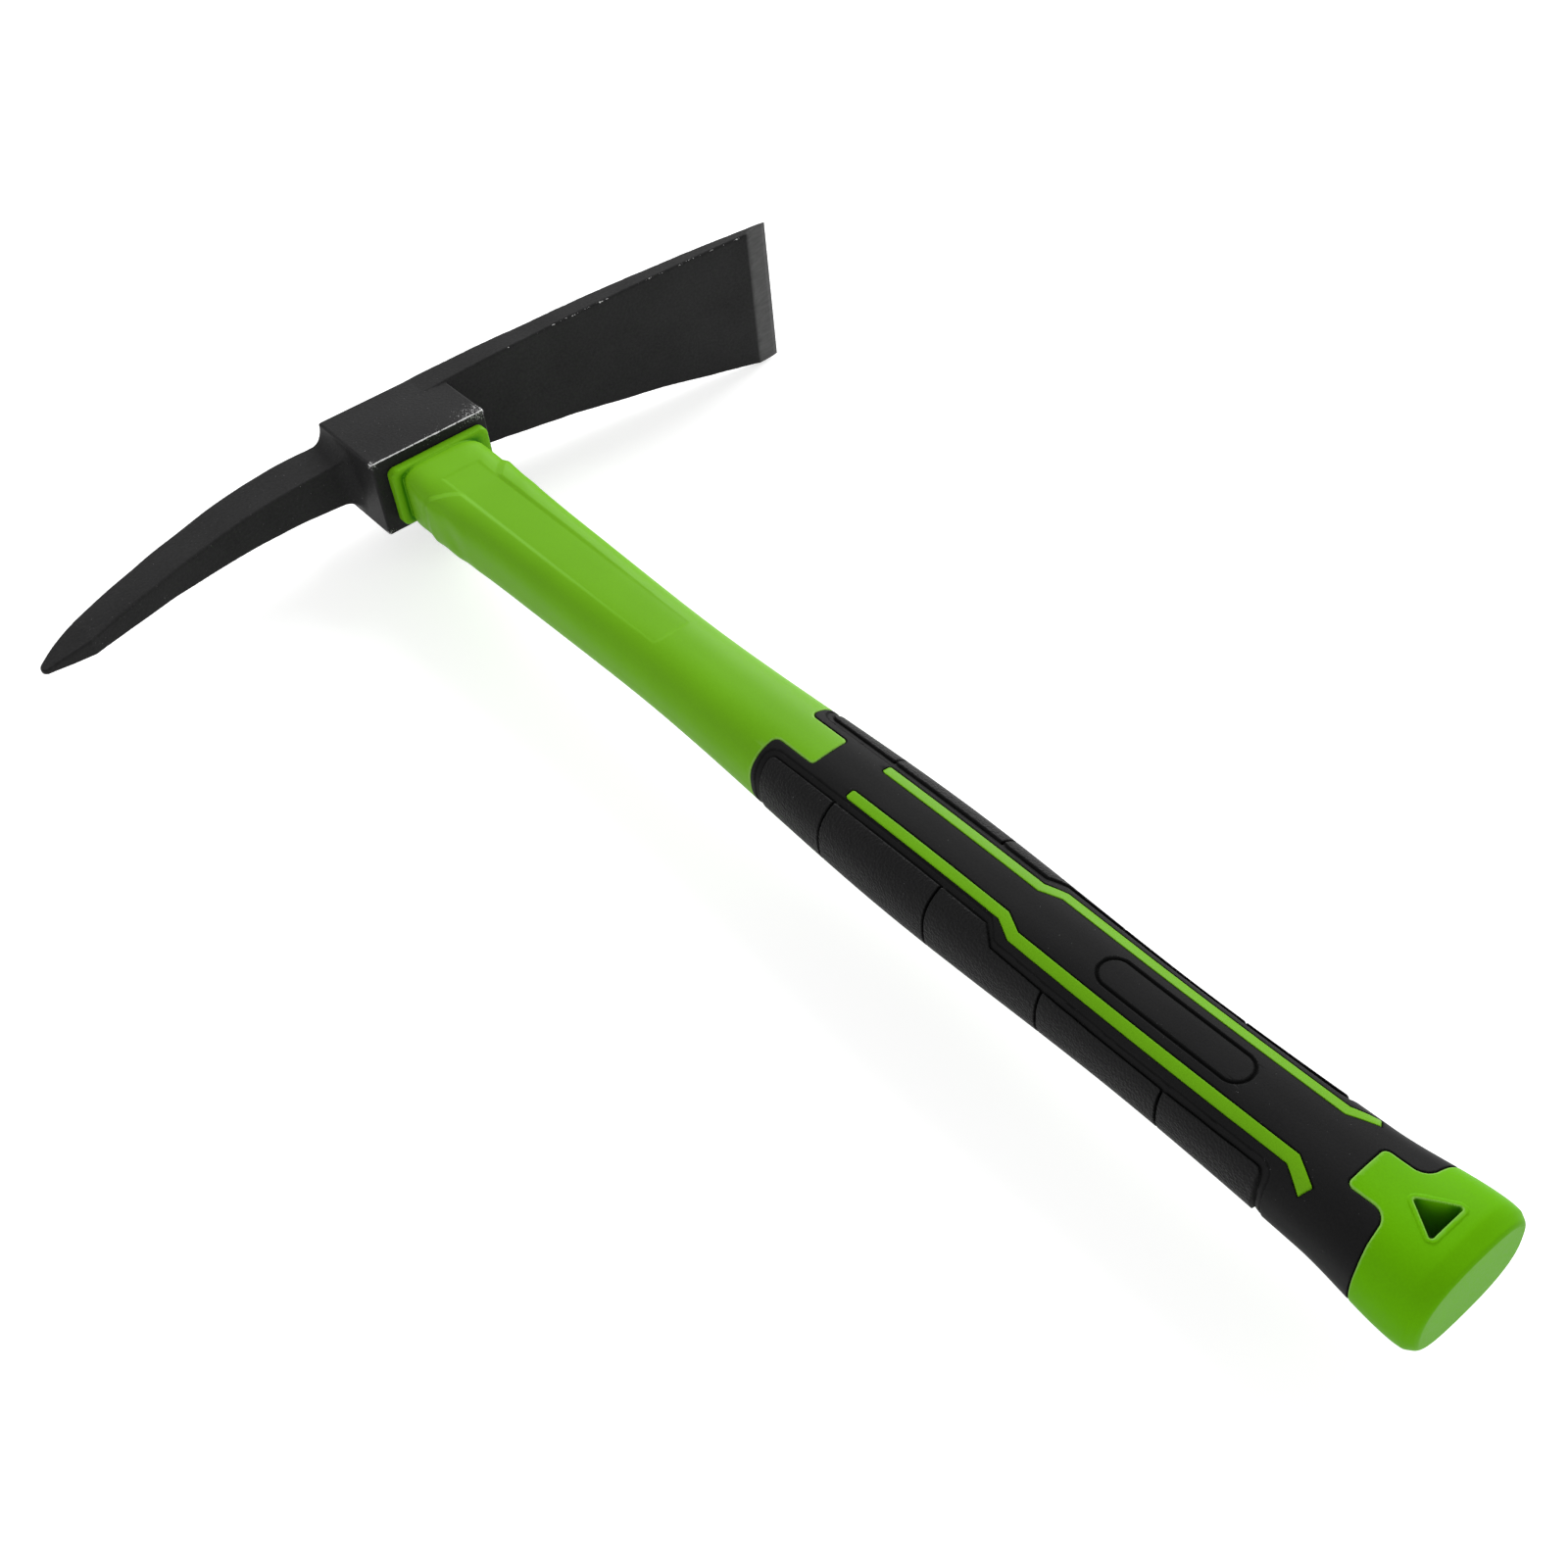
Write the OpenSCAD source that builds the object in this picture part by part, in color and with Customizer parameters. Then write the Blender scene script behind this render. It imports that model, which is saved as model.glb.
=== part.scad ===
// Hand mattock: a forged head with an adze and a pick, on a glass-fibre cored handle
// The handle runs along X, the adze points to +Y, the pick to -Y, and the tool lies on its side

/* [Eye] */
// Length of the eye block along the handle
eye_l = 31.6; // [28:0.2:38]
// Width of the eye block across the head
eye_w = 40; // [36:0.5:48]
// Thickness of the eye block
eye_t = 26; // [23:0.2:32]
// Rounding of the eye block's edges
eye_round = 1; // [0.6:0.1:2]
// Radius of the eye's round ends on the handle side
eye_in_r = 8; // [7.4:0.1:9]
// Radius of the eye's round ends on the far side
eye_out_r = 8.8; // [8:0.1:10]

/* [Adze] */
// Reach of the cutting edge from the handle's axis
adze_reach = 135.8; // [110:0.1:170]
// Width of the cutting edge
edge_w = 50.4; // [40:0.2:80]
// How far the cutting edge lies towards the handle from the head's far face
adze_drop = 25.9; // [18:0.1:35]
// Thickness of the adze where it leaves the eye
adze_root_t = 10.5; // [8:0.1:14]
// Bow of the adze's far face
adze_outer_bow = 3.2; // [1:0.1:6]
// Bow of the adze's near face
adze_inner_bow = 2.3; // [1:0.1:7]
// Distance from the axis where the adze leaves the head's far face
adze_leave = 14.5; // [8:0.1:18]
// Distance from the axis where the adze starts to widen
flare_start = 12; // [6:0.1:18]
// Hollow of the adze's side edges
flare_bow = 0.5; // [0.2:0.05:2]
// Length of the ground bevel
bevel_l = 8.3; // [3:0.1:12]
// Rise of the ground bevel from the cutting edge to the near face
bevel_rise = 1.4; // [0.5:0.1:4]

/* [Pick] */
// Reach of the pick's point from the handle's axis
pick_reach = 127.6; // [100:0.1:170]
// Length of the pick's first curve, from the eye to its knee
knee_l = 45; // [30:0.5:60]
// Length of the pick's blunt point
point_l = 14.6; // [8:0.1:24]
// Step from the head's far face to the pick at the eye
pick_root_step = 1.8; // [1:0.1:4]
// Step from the head's far face to the pick's knee
pick_knee_step = 3.9; // [2:0.1:8]
// Step from the head's far face to the start of the point
point_step = 19.1; // [14:0.1:26]
// Step from the head's far face to the tip
tip_step = 27.8; // [22:0.1:34]
// Width of the pick at the eye
pick_root_w = 14.4; // [10:0.1:18]
// Width of the pick at its knee
pick_knee_w = 14.5; // [10:0.1:18]
// Width of the pick where the point starts
point_w = 12.3; // [8:0.1:15]
// Width of the blunt tip
tip_w = 4; // [2:0.1:7]
// Thickness of the pick at the eye
pick_root_t = 14.8; // [10:0.1:20]
// Thickness of the pick where the point starts
point_t = 5.2; // [3:0.1:9]
// Thickness of the blunt tip
tip_t = 1.6; // [1:0.1:4]
// Bow of the pick's far face beside the eye
pick_far_bow = 2.2; // [0.5:0.1:4]
// Bow of the pick's near face beside the eye
pick_near_bow = 1.6; // [0.5:0.1:4]
// Bow of both faces towards the point
point_bow = 0.95; // [0.2:0.05:3]
// Fillet between the pick's near face and the eye
pick_fillet = 6; // [3:0.1:9]
// Fillet between the pick's cheeks and the eye
cheek_fillet = 5; // [2:0.1:5.2]

/* [Core] */
// Distance between the core's two rounded edges' centres
core_span = 8; // [4:0.2:10]
// Radius of the core's rounded edges
core_r = 6.5; // [5:0.1:7.2]
// Depth of the resin's face below the head's far face
resin_sink = 1; // [0.4:0.1:3]

/* [Handle] */
// Length of the handle from the eye block to the butt
handle_l = 369.8; // [330:0.5:420]
// Width of the neck at the collar
neck_w = 31.8; // [29:0.1:36]
// Thickness of the neck
neck_t = 20.8; // [19:0.1:25]
// Width of the throat, below the neck
throat_w = 27.3; // [26:0.1:32]
// Width of the waist
waist_w = 26.5; // [26:0.1:32]
// Thickness of the waist
waist_t = 20.8; // [19:0.1:25]
// Width of the belly of the grip
belly_w = 31.6; // [29:0.1:38]
// Thickness of the belly of the grip
belly_t = 23.9; // [21:0.1:30]
// Width of the hollow of the grip
hollow_w = 28.4; // [27:0.1:34]
// Thickness of the hollow of the grip
hollow_t = 22.1; // [20:0.1:28]
// Width of the tail of the grip
tail_w = 30.3; // [28:0.1:36]
// Thickness of the tail of the grip
tail_t = 23.2; // [21:0.1:28]
// Width of the butt
butt_w = 35.4; // [31:0.1:42]
// Thickness of the butt
butt_t = 25.6; // [22:0.1:32]
// Length of the butt's rounded rim
rim_l = 4.5; // [2:0.1:8]
// Depth of the butt's rounded rim
rim_d = 1.8; // [0.5:0.1:3]

/* [Collar] */
// Width of the collar
collar_w = 33.2; // [31:0.1:38]
// Thickness of the collar
collar_t = 21.2; // [20:0.1:24]
// Length of the collar
collar_l = 3.8; // [2:0.1:6]
// Rounding of the collar's corners
collar_corner_r = 3; // [1:0.1:5]
// Rounding of the collar's rim
collar_rim_r = 0.9; // [0.3:0.1:1.5]
// Length of the hollow behind the collar
hollow_l = 5; // [2:0.1:8]
// Depth of the hollow behind the collar
hollow_d = 1.3; // [0.5:0.1:2]

/* [Neck sleeve] */
// Height of the neck's raised sleeve
sleeve_d = 0.4; // [0.2:0.05:1]
// Place where the sleeve starts to rise
sleeve_x = 21; // [14:0.5:30]
// Length over which the sleeve rises
sleeve_l = 8; // [4:0.5:12]
// Width of the flat sunk panel on each broad face
panel_w = 12.4; // [8:0.1:18]
// Thickness of the neck between the two panels
panel_t = 19.4; // [18:0.1:20]
// Place where the sunk panel starts
panel_x = 17; // [12:0.5:22]
// Distance from the sunk panel's end to the grip
panel_gap = 50; // [20:0.5:80]

/* [Grip] */
// Length of the grip
grip_l = 184; // [150:0.5:200]
// Thickness of the grip's rubber
grip_d = 2; // [1.2:0.1:2.4]
// Width of the green tongue at each end of the grip
tongue_w = 11.2; // [6:0.1:14]
// Length of the tongue at the front of the grip
tongue_l = 14; // [6:0.1:22]
// Rounding of the front tongue's corners
tongue_tip_r = 1.2; // [0.5:0.1:3]
// Fillet at the front tongue's root
tongue_root_r = 2; // [1:0.1:5]
// Length of the tongue at the butt
cap_tongue_l = 10.3; // [6:0.1:16]
// Rounding of the butt tongue's corners
cap_tip_r = 1.5; // [0.5:0.1:3]
// Fillet at the butt tongue's root
cap_root_r = 3.6; // [1:0.1:5]

/* [Stripes] */
// Width of a stripe
stripe_w = 3; // [1.5:0.1:4]
// Distance of the stripes' front stretch from the middle
stripe_front_y = 5.8; // [4:0.1:7]
// Distance of the stripes' rear stretch from the middle
stripe_rear_y = 8.2; // [6:0.1:9]
// Distance of the stripes' ends from the middle
stripe_end_y = 11.5; // [9:0.1:12]

/* [Pads] */
// Width of the grooves between the pads
groove_w = 1; // [0.6:0.1:2]
// Depth of the grooves between the pads and of the sunk oval line
groove_d = 0.6; // [0.3:0.05:1]
// Distance of the pads' front stretch from the middle
pad_front_y = 9.3; // [8:0.1:11]
// Distance of the pads' rear stretch from the middle
pad_rear_y = 12.4; // [10:0.1:13]
// Length of the sunk oval line between the stripes
oval_l = 41; // [20:0.5:60]
// Width of the sunk oval line
oval_w = 8.2; // [5:0.1:10]
// Width of the sunk oval line's groove
oval_groove_w = 0.8; // [0.4:0.1:1.2]

/* [End cap] */
// Length of the end cap on the narrow sides
cap_l = 15.3; // [11:0.5:22]
// Depth that the end cap's tongue runs on over the jacket's end
cap_lap = 4.8; // [2:0.1:8]
// Distance from the butt to the hang hole's base
hole_base = 7.6; // [6:0.1:9]
// Height of the hang hole's triangle
hole_h = 9; // [8:0.1:10]
// Width of the hang hole's triangle
hole_w = 11.8; // [10:0.1:14]
// Rounding of the hang hole's corners
hole_r = 0.9; // [0.4:0.1:1.2]
// Width of the raised lip round the hang hole
lip_w = 1.2; // [0.6:0.1:2]
// Height of the raised lip round the hang hole
lip_d = 0.3; // [0.1:0.05:0.6]

/* [Hidden] */
$fn = 48;

// One overrun for every cut
overrun = 2;
// Steps along a bowed edge, around the handle and along a rounded rim
bow_steps = 16;
ring_steps = 40;
rim_steps = 5;
// Longest and shortest slice of the handle's form
slice_l = 12;
least_slice = 0.2;

// Places along the handle, with zero at the eye block
jacket_end = handle_l - cap_l - cap_tongue_l + cap_lap;
cap_x = handle_l - cap_l;
grip_x = cap_x - grip_l;
rim_x = handle_l - rim_l;
throat_share = 0.168;
waist_share = 0.33;
belly_share = 0.595;
hollow_share = 0.795;
tail_share = 0.92;

// The handle's form: place, half width, half thickness and squareness of its stations
neck_square = 4;
throat_square = 3.4;
grip_square = 2.6;
stations = [
    [collar_l, neck_w / 2, neck_t / 2, neck_square],
    [throat_share * handle_l, throat_w / 2, neck_t / 2, throat_square],
    [waist_share * handle_l, waist_w / 2, waist_t / 2, grip_square],
    [belly_share * handle_l, belly_w / 2, belly_t / 2, grip_square],
    [hollow_share * handle_l, hollow_w / 2, hollow_t / 2, grip_square],
    [tail_share * handle_l, tail_w / 2, tail_t / 2, grip_square],
    [rim_x, butt_w / 2, butt_t / 2, grip_square]
];

// Places along the grip as shares of its length
stripe_shares = [0.15, 0.432, 0.461, 0.881, 0.913];
pad_shares = [0.016, 0.423, 0.446, 0.864];
cross_shares = [0.144, 0.344, 0.533, 0.72];
oval_share = 0.674;

jacket_green = [0.42, 0.68, 0.12];
grip_black = [0.15, 0.15, 0.15];
head_black = [0.2, 0.2, 0.21];
core_cream = [0.85, 0.8, 0.6];
resin_amber = [0.45, 0.36, 0.2];

// Everything is placed with the box's bottom centre at the origin
module placed() {
    translate([(eye_l - handle_l) / 2, (pick_reach - adze_reach) / 2, edge_w / 2]) children();
}

// Points of a shallow arc from p to q that stands bow proud on the left of the way
function bowed(p, q, bow) =
    let (way = q - p, l = norm(way), side = [-way[1], way[0]] / l)
    let (r = (l * l / 4 + bow * bow) / (2 * bow), half = asin(l / (2 * r)))
    let (centre = (p + q) / 2 + side * (bow - r))
    [for (i = [0 : bow_steps])
        let (a = half * (1 - 2 * i / bow_steps))
        centre + r * (side * cos(a) - way / l * sin(a))];

function mirrored(points) = [for (i = [len(points) - 1 : -1 : 0]) [points[i][0], -points[i][1]]];

// A profile drawn in X and Y, as thick as t across the middle plane
module plan(t) {
    linear_extrude(t, center = true) children();
}

// A profile drawn in Y and Z, run along X from the first place to the second
module along(x_from, x_to) {
    translate([x_from, 0, 0]) rotate([90, 0, 90]) linear_extrude(x_to - x_from) children();
}

module round_rect(w, h, r) {
    square([w - 2 * r, h], center = true);
    square([w, h - 2 * r], center = true);
    for (x = [-1, 1], y = [-1, 1])
        translate([x * (w / 2 - r), y * (h / 2 - r)]) circle(r = r);
}

// A fillet in the corner at the origin, filling towards +X and +Y, and bedded back by its radius
module fillet(r) {
    difference() {
        translate([-r, -r]) square(2 * r);
        translate([r, r]) circle(r = r);
    }
}

// The stadium outline that the core has, drawn in Y and Z
module stadium(span, r) {
    square([span, 2 * r], center = true);
    for (side = [-1, 1])
        translate([side * span / 2, 0]) circle(r = r);
}

// Head

module eye_block() {
    translate([-eye_l / 2, 0, 0]) intersection() {
        plan(eye_t) round_rect(eye_l, eye_w, eye_round);
        rotate([90, 0, 0]) linear_extrude(eye_w, center = true) round_rect(eye_l, eye_t, eye_round);
        along(-eye_l / 2, eye_l / 2) round_rect(eye_w, eye_t, eye_round);
    }
}

module adze() {
    edge = [adze_drop - eye_l, adze_reach];
    bevel = edge + [bevel_rise, -bevel_l];
    near_root = [adze_root_t - eye_l, eye_w / 2];
    far_face = bowed([-eye_l, adze_leave], edge, adze_outer_bow);
    near_face = bowed(bevel, near_root, -adze_inner_bow);
    side = bowed([flare_start, eye_t / 2], [adze_reach, edge_w / 2], -flare_bow);
    intersection() {
        plan(edge_w) polygon(concat([[-eye_l, 0]], far_face, near_face, [[near_root[0], 0]]));
        along(-eye_l, eye_l)
            polygon(concat([[0, eye_t / 2]], side, mirrored(side), [[0, -eye_t / 2]]));
    }
}

module pick() {
    point_y = point_l - pick_reach;
    far_root = [pick_root_step - eye_l, -eye_w / 2];
    far_knee = [pick_knee_step - eye_l, -eye_w / 2 - knee_l];
    far_point = [point_step - eye_l, point_y];
    far_tip = [tip_step - eye_l, -pick_reach];
    near_root = far_root + [pick_root_w, 0];
    near_knee = far_knee + [pick_knee_w, 0];
    near_point = far_point + [point_w, 0];
    near_tip = far_tip + [tip_w, 0];
    far_face = concat(
        bowed(far_root, far_knee, -pick_far_bow),
        bowed(far_knee, far_point, -point_bow));
    near_face = concat(
        bowed(near_point, near_knee, point_bow),
        bowed(near_knee, near_root, pick_near_bow));
    cheek = [
        [0, pick_root_t / 2],
        [-eye_w / 2, pick_root_t / 2],
        [point_y, point_t / 2],
        [-pick_reach, tip_t / 2]
    ];
    intersection() {
        plan(eye_t) {
            polygon(concat(
                [[far_root[0], 0]], far_face, [far_tip, near_tip], near_face, [[near_root[0], 0]]));
            translate(near_root) mirror([0, 1]) fillet(pick_fillet);
            translate(far_root) rotate(180) fillet(pick_root_step);
        }
        along(-eye_l, eye_l) {
            polygon(concat(cheek, mirrored(cheek)));
            for (turn = [0, 1])
                mirror([0, turn]) translate([-eye_w / 2, pick_root_t / 2])
                    mirror([1, 0]) fillet(cheek_fillet);
        }
    }
}

// The eye's hole between two places, which widens towards the head's far face
module eye_hole(x_from, x_to) {
    slope = (eye_out_r - eye_in_r) / eye_l;
    r_from = eye_in_r - slope * x_from;
    r_to = eye_in_r - slope * x_to;
    for (side = [-1, 1])
        translate([x_from, side * core_span / 2, 0]) rotate([0, 90, 0])
            cylinder(h = x_to - x_from, r1 = r_from, r2 = r_to);
    rotate([90, 0, 0]) linear_extrude(core_span, center = true)
        polygon([[x_from, -r_from], [x_from, r_from], [x_to, r_to], [x_to, -r_to]]);
}

module mattock_head() {
    color(head_black) placed() difference() {
        union() {
            eye_block();
            adze();
            pick();
        }
        eye_hole(-eye_l - overrun, overrun);
    }
}

module eye_resin() {
    color(resin_amber) placed() difference() {
        eye_hole(resin_sink - eye_l, 0);
        along(-eye_l, overrun) stadium(core_span, core_r);
    }
}

module core_rod() {
    color(core_cream) placed() along(resin_sink - eye_l, jacket_end) stadium(core_span, core_r);
}

// Handle form

function slope(col, i) =
    let (step = stations[i + 1] - stations[i]) step[col] / step[0];

// Slope of a smooth curve at a station: flat at a turn, gentle where two stretches meet
function tangent(col, i) =
    i == 0 ? slope(col, 0)
    : i == len(stations) - 1 ? 0
    : let (a = slope(col, i - 1), b = slope(col, i)) a * b <= 0 ? 0 : 2 * a * b / (a + b);

function stretch(x, i = 0) =
    i >= len(stations) - 2 || x < stations[i + 1][0] ? i : stretch(x, i + 1);

// Value of a column of the stations at a place along the handle
function form(col, x) =
    let (at = min(max(x, stations[0][0]), rim_x), i = stretch(at))
    let (d = stations[i + 1][0] - stations[i][0], u = (at - stations[i][0]) / d)
    let (a = stations[i][col], b = stations[i + 1][col])
    let (lean = tangent(col, i) * (1 - u) - tangent(col, i + 1) * u)
    a + (b - a) * u * u * (3 - 2 * u) + d * u * (1 - u) * lean;

// How far the butt's rim has rounded in at a place
function rim_in(x) = let (u = max(0, x - rim_x) / rim_l) rim_d * (1 - sqrt(max(0, 1 - u * u)));

// How far the neck's narrow sides are hollowed behind the collar
function neck_in(x) = let (u = min(1, max(0, x - collar_l) / hollow_l)) hollow_d * (1 - u) * (1 - u);

// How far the neck lies below the sleeve that rises from it
function sleeve_in(x) = let (u = min(1, max(0, x - sleeve_x) / sleeve_l)) sleeve_d * (1 - u);

function bent(c, power) = sign(c) * pow(abs(c), power);

// One ring of points round the handle, sunk by d below its skin
function ring(x, d) =
    let (sunk = rim_in(x) + sleeve_in(x) + d, power = 2 / form(3, x))
    let (w = form(1, x) - neck_in(x) - sunk, t = form(2, x) - sunk)
    [for (i = [0 : ring_steps - 1])
        let (a = 360 * i / ring_steps)
        [x, w * bent(cos(a), power), t * bent(sin(a), power)]];

function spaced(x_from, x_to, step) =
    let (n = ceil((x_to - x_from) / step)) [for (i = [0 : n - 1]) x_from + (x_to - x_from) * i / n];

// Places of all the rings, closer behind the collar, on the sleeve's rise and round the butt's rim
all_slices = concat(
    spaced(collar_l, collar_l + hollow_l, hollow_l / rim_steps),
    spaced(collar_l + hollow_l, sleeve_x, slice_l),
    spaced(sleeve_x, sleeve_x + sleeve_l, slice_l),
    spaced(sleeve_x + sleeve_l, rim_x, slice_l),
    [for (i = [0 : rim_steps - 1]) rim_x + rim_l * sin(90 * i / rim_steps)]);

// The places between two ends, and the ends themselves
function slices(x_from, x_to) =
    let (between = [for (x = all_slices) if (x > x_from + least_slice && x < x_to - least_slice) x])
    concat([x_from], between, [x_to]);

// The handle's form over a list of places, sunk by d below its skin
module loft(places, d) {
    n = ring_steps;
    last = len(places) - 1;
    points = [for (x = places) each ring(x, d)];
    sides = [for (k = [0 : last - 1], i = [0 : n - 1])
        [k * n + i, (k + 1) * n + i, (k + 1) * n + (i + 1) % n, k * n + (i + 1) % n]];
    ends = [[for (i = [0 : n - 1]) i], [for (i = [n - 1 : -1 : 0]) last * n + i]];
    polyhedron(points, concat(sides, ends), convexity = 6);
}

// Outline of a tongue from the line at x, which runs on for length l towards +X or -X
module tongue_plan(x, way, l, tip_r, root_r) {
    translate([x, 0]) mirror([way < 0 ? 1 : 0, 0]) {
        translate([l / 2 - tip_r, 0]) round_rect(l + 2 * tip_r, tongue_w, tip_r);
        for (turn = [0, 1])
            mirror([0, turn]) translate([0, tongue_w / 2]) fillet(root_r);
        translate([-handle_l, -neck_w]) square([handle_l, 2 * neck_w]);
    }
}

module front_plan() {
    tongue_plan(grip_x, 1, tongue_l, tongue_tip_r, tongue_root_r);
}

module cap_plan() {
    tongue_plan(cap_x, -1, cap_tongue_l, cap_tip_r, cap_root_r);
}

// The jacket's body under the grip, and the end cap's spigot that carries it on
module under_jacket() {
    loft(slices(grip_x - overrun, jacket_end), grip_d);
}

module under_cap() {
    loft(slices(jacket_end, cap_x + overrun), grip_d);
}

// Collar, neck and the jacket under the grip

module collar() {
    translate([collar_l / 2, 0, 0]) intersection() {
        along(-collar_l / 2, collar_l / 2) round_rect(collar_w, collar_t, collar_corner_r);
        plan(collar_t) round_rect(collar_l, collar_w, collar_rim_r);
        rotate([90, 0, 0]) linear_extrude(collar_w, center = true)
            round_rect(collar_l, collar_t, collar_rim_r);
    }
}

module sunk_panels() {
    for (face = [0, 1])
        mirror([0, 0, face]) translate([panel_x, -panel_w / 2, panel_t / 2])
            cube([grip_x - panel_gap - panel_x, panel_w, neck_t]);
}

module handle_jacket() {
    color(jacket_green) placed() difference() {
        union() {
            collar();
            intersection() {
                loft(slices(collar_l - collar_rim_r, grip_x + tongue_l + overrun), 0);
                plan(2 * neck_t) front_plan();
            }
            under_jacket();
        }
        sunk_panels();
        along(-overrun, jacket_end + overrun) stadium(core_span, core_r);
    }
}

// Grip and stripes

// Place along the grip from a share of its length
function grip_at(share) = grip_x + share * grip_l;

// Outline of a band of width w that follows a path in X and Y, with a round front end of some steps
module band(path, w, steps = 0) {
    last = len(path) - 1;
    function way(i) = let (d = path[i + 1] - path[i]) d / norm(d);
    function side(i) =
        let (a = way(max(0, i - 1)), b = way(min(last - 1, i)), s = a + b)
        [-s[1], s[0]] / (1 + a * b);
    left = [for (i = [0 : last]) path[i] + side(i) * w / 2];
    right = [for (i = [last : -1 : 0]) path[i] - side(i) * w / 2];
    end = [for (i = [1 : 1 : steps - 1])
        let (a = 180 * i / steps)
        path[0] - (side(0) * cos(a) + way(0) * sin(a)) * w / 2];
    polygon(concat(left, right, end));
}

stripe_path = [
    [grip_at(stripe_shares[0]), stripe_front_y],
    [grip_at(stripe_shares[1]), stripe_front_y],
    [grip_at(stripe_shares[2]), stripe_rear_y],
    [grip_at(stripe_shares[3]), stripe_rear_y],
    [grip_at(stripe_shares[4]), stripe_end_y]
];

// The stripe has a round front end and a square rear end
module stripe_plan() {
    band(stripe_path, stripe_w, bow_steps);
}

// A stripe's prism above the middle plane, turned to one side and one face
module stripe_prism(side, face) {
    mirror([0, side < 0 ? 1 : 0, 0]) mirror([0, 0, face < 0 ? 1 : 0])
        linear_extrude(butt_t) stripe_plan();
}

module stripe(side, face) {
    color(jacket_green) placed() intersection() {
        difference() {
            loft(slices(grip_x, cap_x), 0);
            under_jacket();
        }
        stripe_prism(side, face);
    }
}

module stripe_top_adze() { stripe(1, 1); }
module stripe_top_pick() { stripe(-1, 1); }
module stripe_under_adze() { stripe(1, -1); }
module stripe_under_pick() { stripe(-1, -1); }

pad_path = [
    [grip_at(pad_shares[0]), pad_front_y],
    [grip_at(pad_shares[1]), pad_front_y],
    [grip_at(pad_shares[2]), pad_rear_y],
    [grip_at(pad_shares[3]), pad_rear_y]
];

// Grooves round and across the pads on both narrow sides
module groove_plan() {
    first = pad_path[0];
    last = pad_path[len(pad_path) - 1];
    field = concat(pad_path, [[last[0], butt_w], [first[0], butt_w]]);
    for (turn = [0, 1])
        mirror([0, turn]) {
            band(pad_path, groove_w);
            for (x = concat([first[0], last[0]], [for (share = cross_shares) grip_at(share)]))
                intersection() {
                    polygon(field);
                    translate([x - groove_w / 2, 0]) square([groove_w, butt_w]);
                }
        }
}

module oval_plan() {
    translate([grip_at(oval_share), 0]) difference() {
        stadium(oval_l - oval_w, oval_w / 2 + oval_groove_w / 2);
        stadium(oval_l - oval_w, oval_w / 2 - oval_groove_w / 2);
    }
}

module grip_sleeve() {
    color(grip_black) placed() difference() {
        union() {
            loft(slices(grip_x, cap_x), groove_d);
            difference() {
                loft(slices(grip_x, cap_x), 0);
                plan(2 * butt_t) groove_plan();
                linear_extrude(butt_t) oval_plan();
            }
        }
        under_jacket();
        under_cap();
        plan(2 * butt_t) {
            front_plan();
            cap_plan();
        }
        for (side = [-1, 1], face = [-1, 1])
            stripe_prism(side, face);
    }
}

// End cap

// The hang hole's triangle with its point towards the head, grown by g
module hole_plan(g) {
    base_x = handle_l - hole_base;
    half = atan(hole_w / 2 / hole_h);
    r = hole_r + g;
    tip = [base_x - hole_h + hole_r / sin(half), 0];
    corner = [base_x - hole_r, hole_w / 2 - hole_r / tan((90 - half) / 2)];
    out = r * [-sin(half), cos(half)];
    side = [tip + out, corner + out, corner + [r, 0]];
    polygon(concat(side, mirrored(side)));
    for (centre = [tip, corner, [corner[0], -corner[1]]])
        translate(centre) circle(r = r);
}

// The raised lip round the hang hole on both broad faces
module hole_lip() {
    intersection() {
        loft(slices(cap_x - cap_tongue_l, handle_l), -lip_d);
        plan(2 * butt_t) hole_plan(lip_w);
    }
}

module end_cap() {
    color(jacket_green) placed() difference() {
        union() {
            intersection() {
                loft(slices(cap_x - cap_tongue_l - overrun, handle_l), 0);
                plan(2 * butt_t) cap_plan();
            }
            under_cap();
            hole_lip();
        }
        under_jacket();
        plan(2 * butt_t) hole_plan(0);
    }
}

mattock_head();
eye_resin();
core_rod();
handle_jacket();
grip_sleeve();
end_cap();
stripe_top_adze();
stripe_top_pick();
stripe_under_adze();
stripe_under_pick();
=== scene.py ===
"""Hand mattock: a forged black head on a moulded green handle with a black rubber grip.

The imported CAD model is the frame. Each piece is meshed here from a distance field in millimetres,
measured from the middle of the eye's near face, and is then set on the frame in metres.
Lengths among the named values are in millimetres too. Most pairs are the ends of a soft step.
"""

from types import SimpleNamespace

import bpy
import numpy as np
from bpy.props import FloatProperty, FloatVectorProperty, PointerProperty
from bpy.types import Operator, Panel, PropertyGroup
from mathutils import Euler, Matrix, Vector


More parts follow.
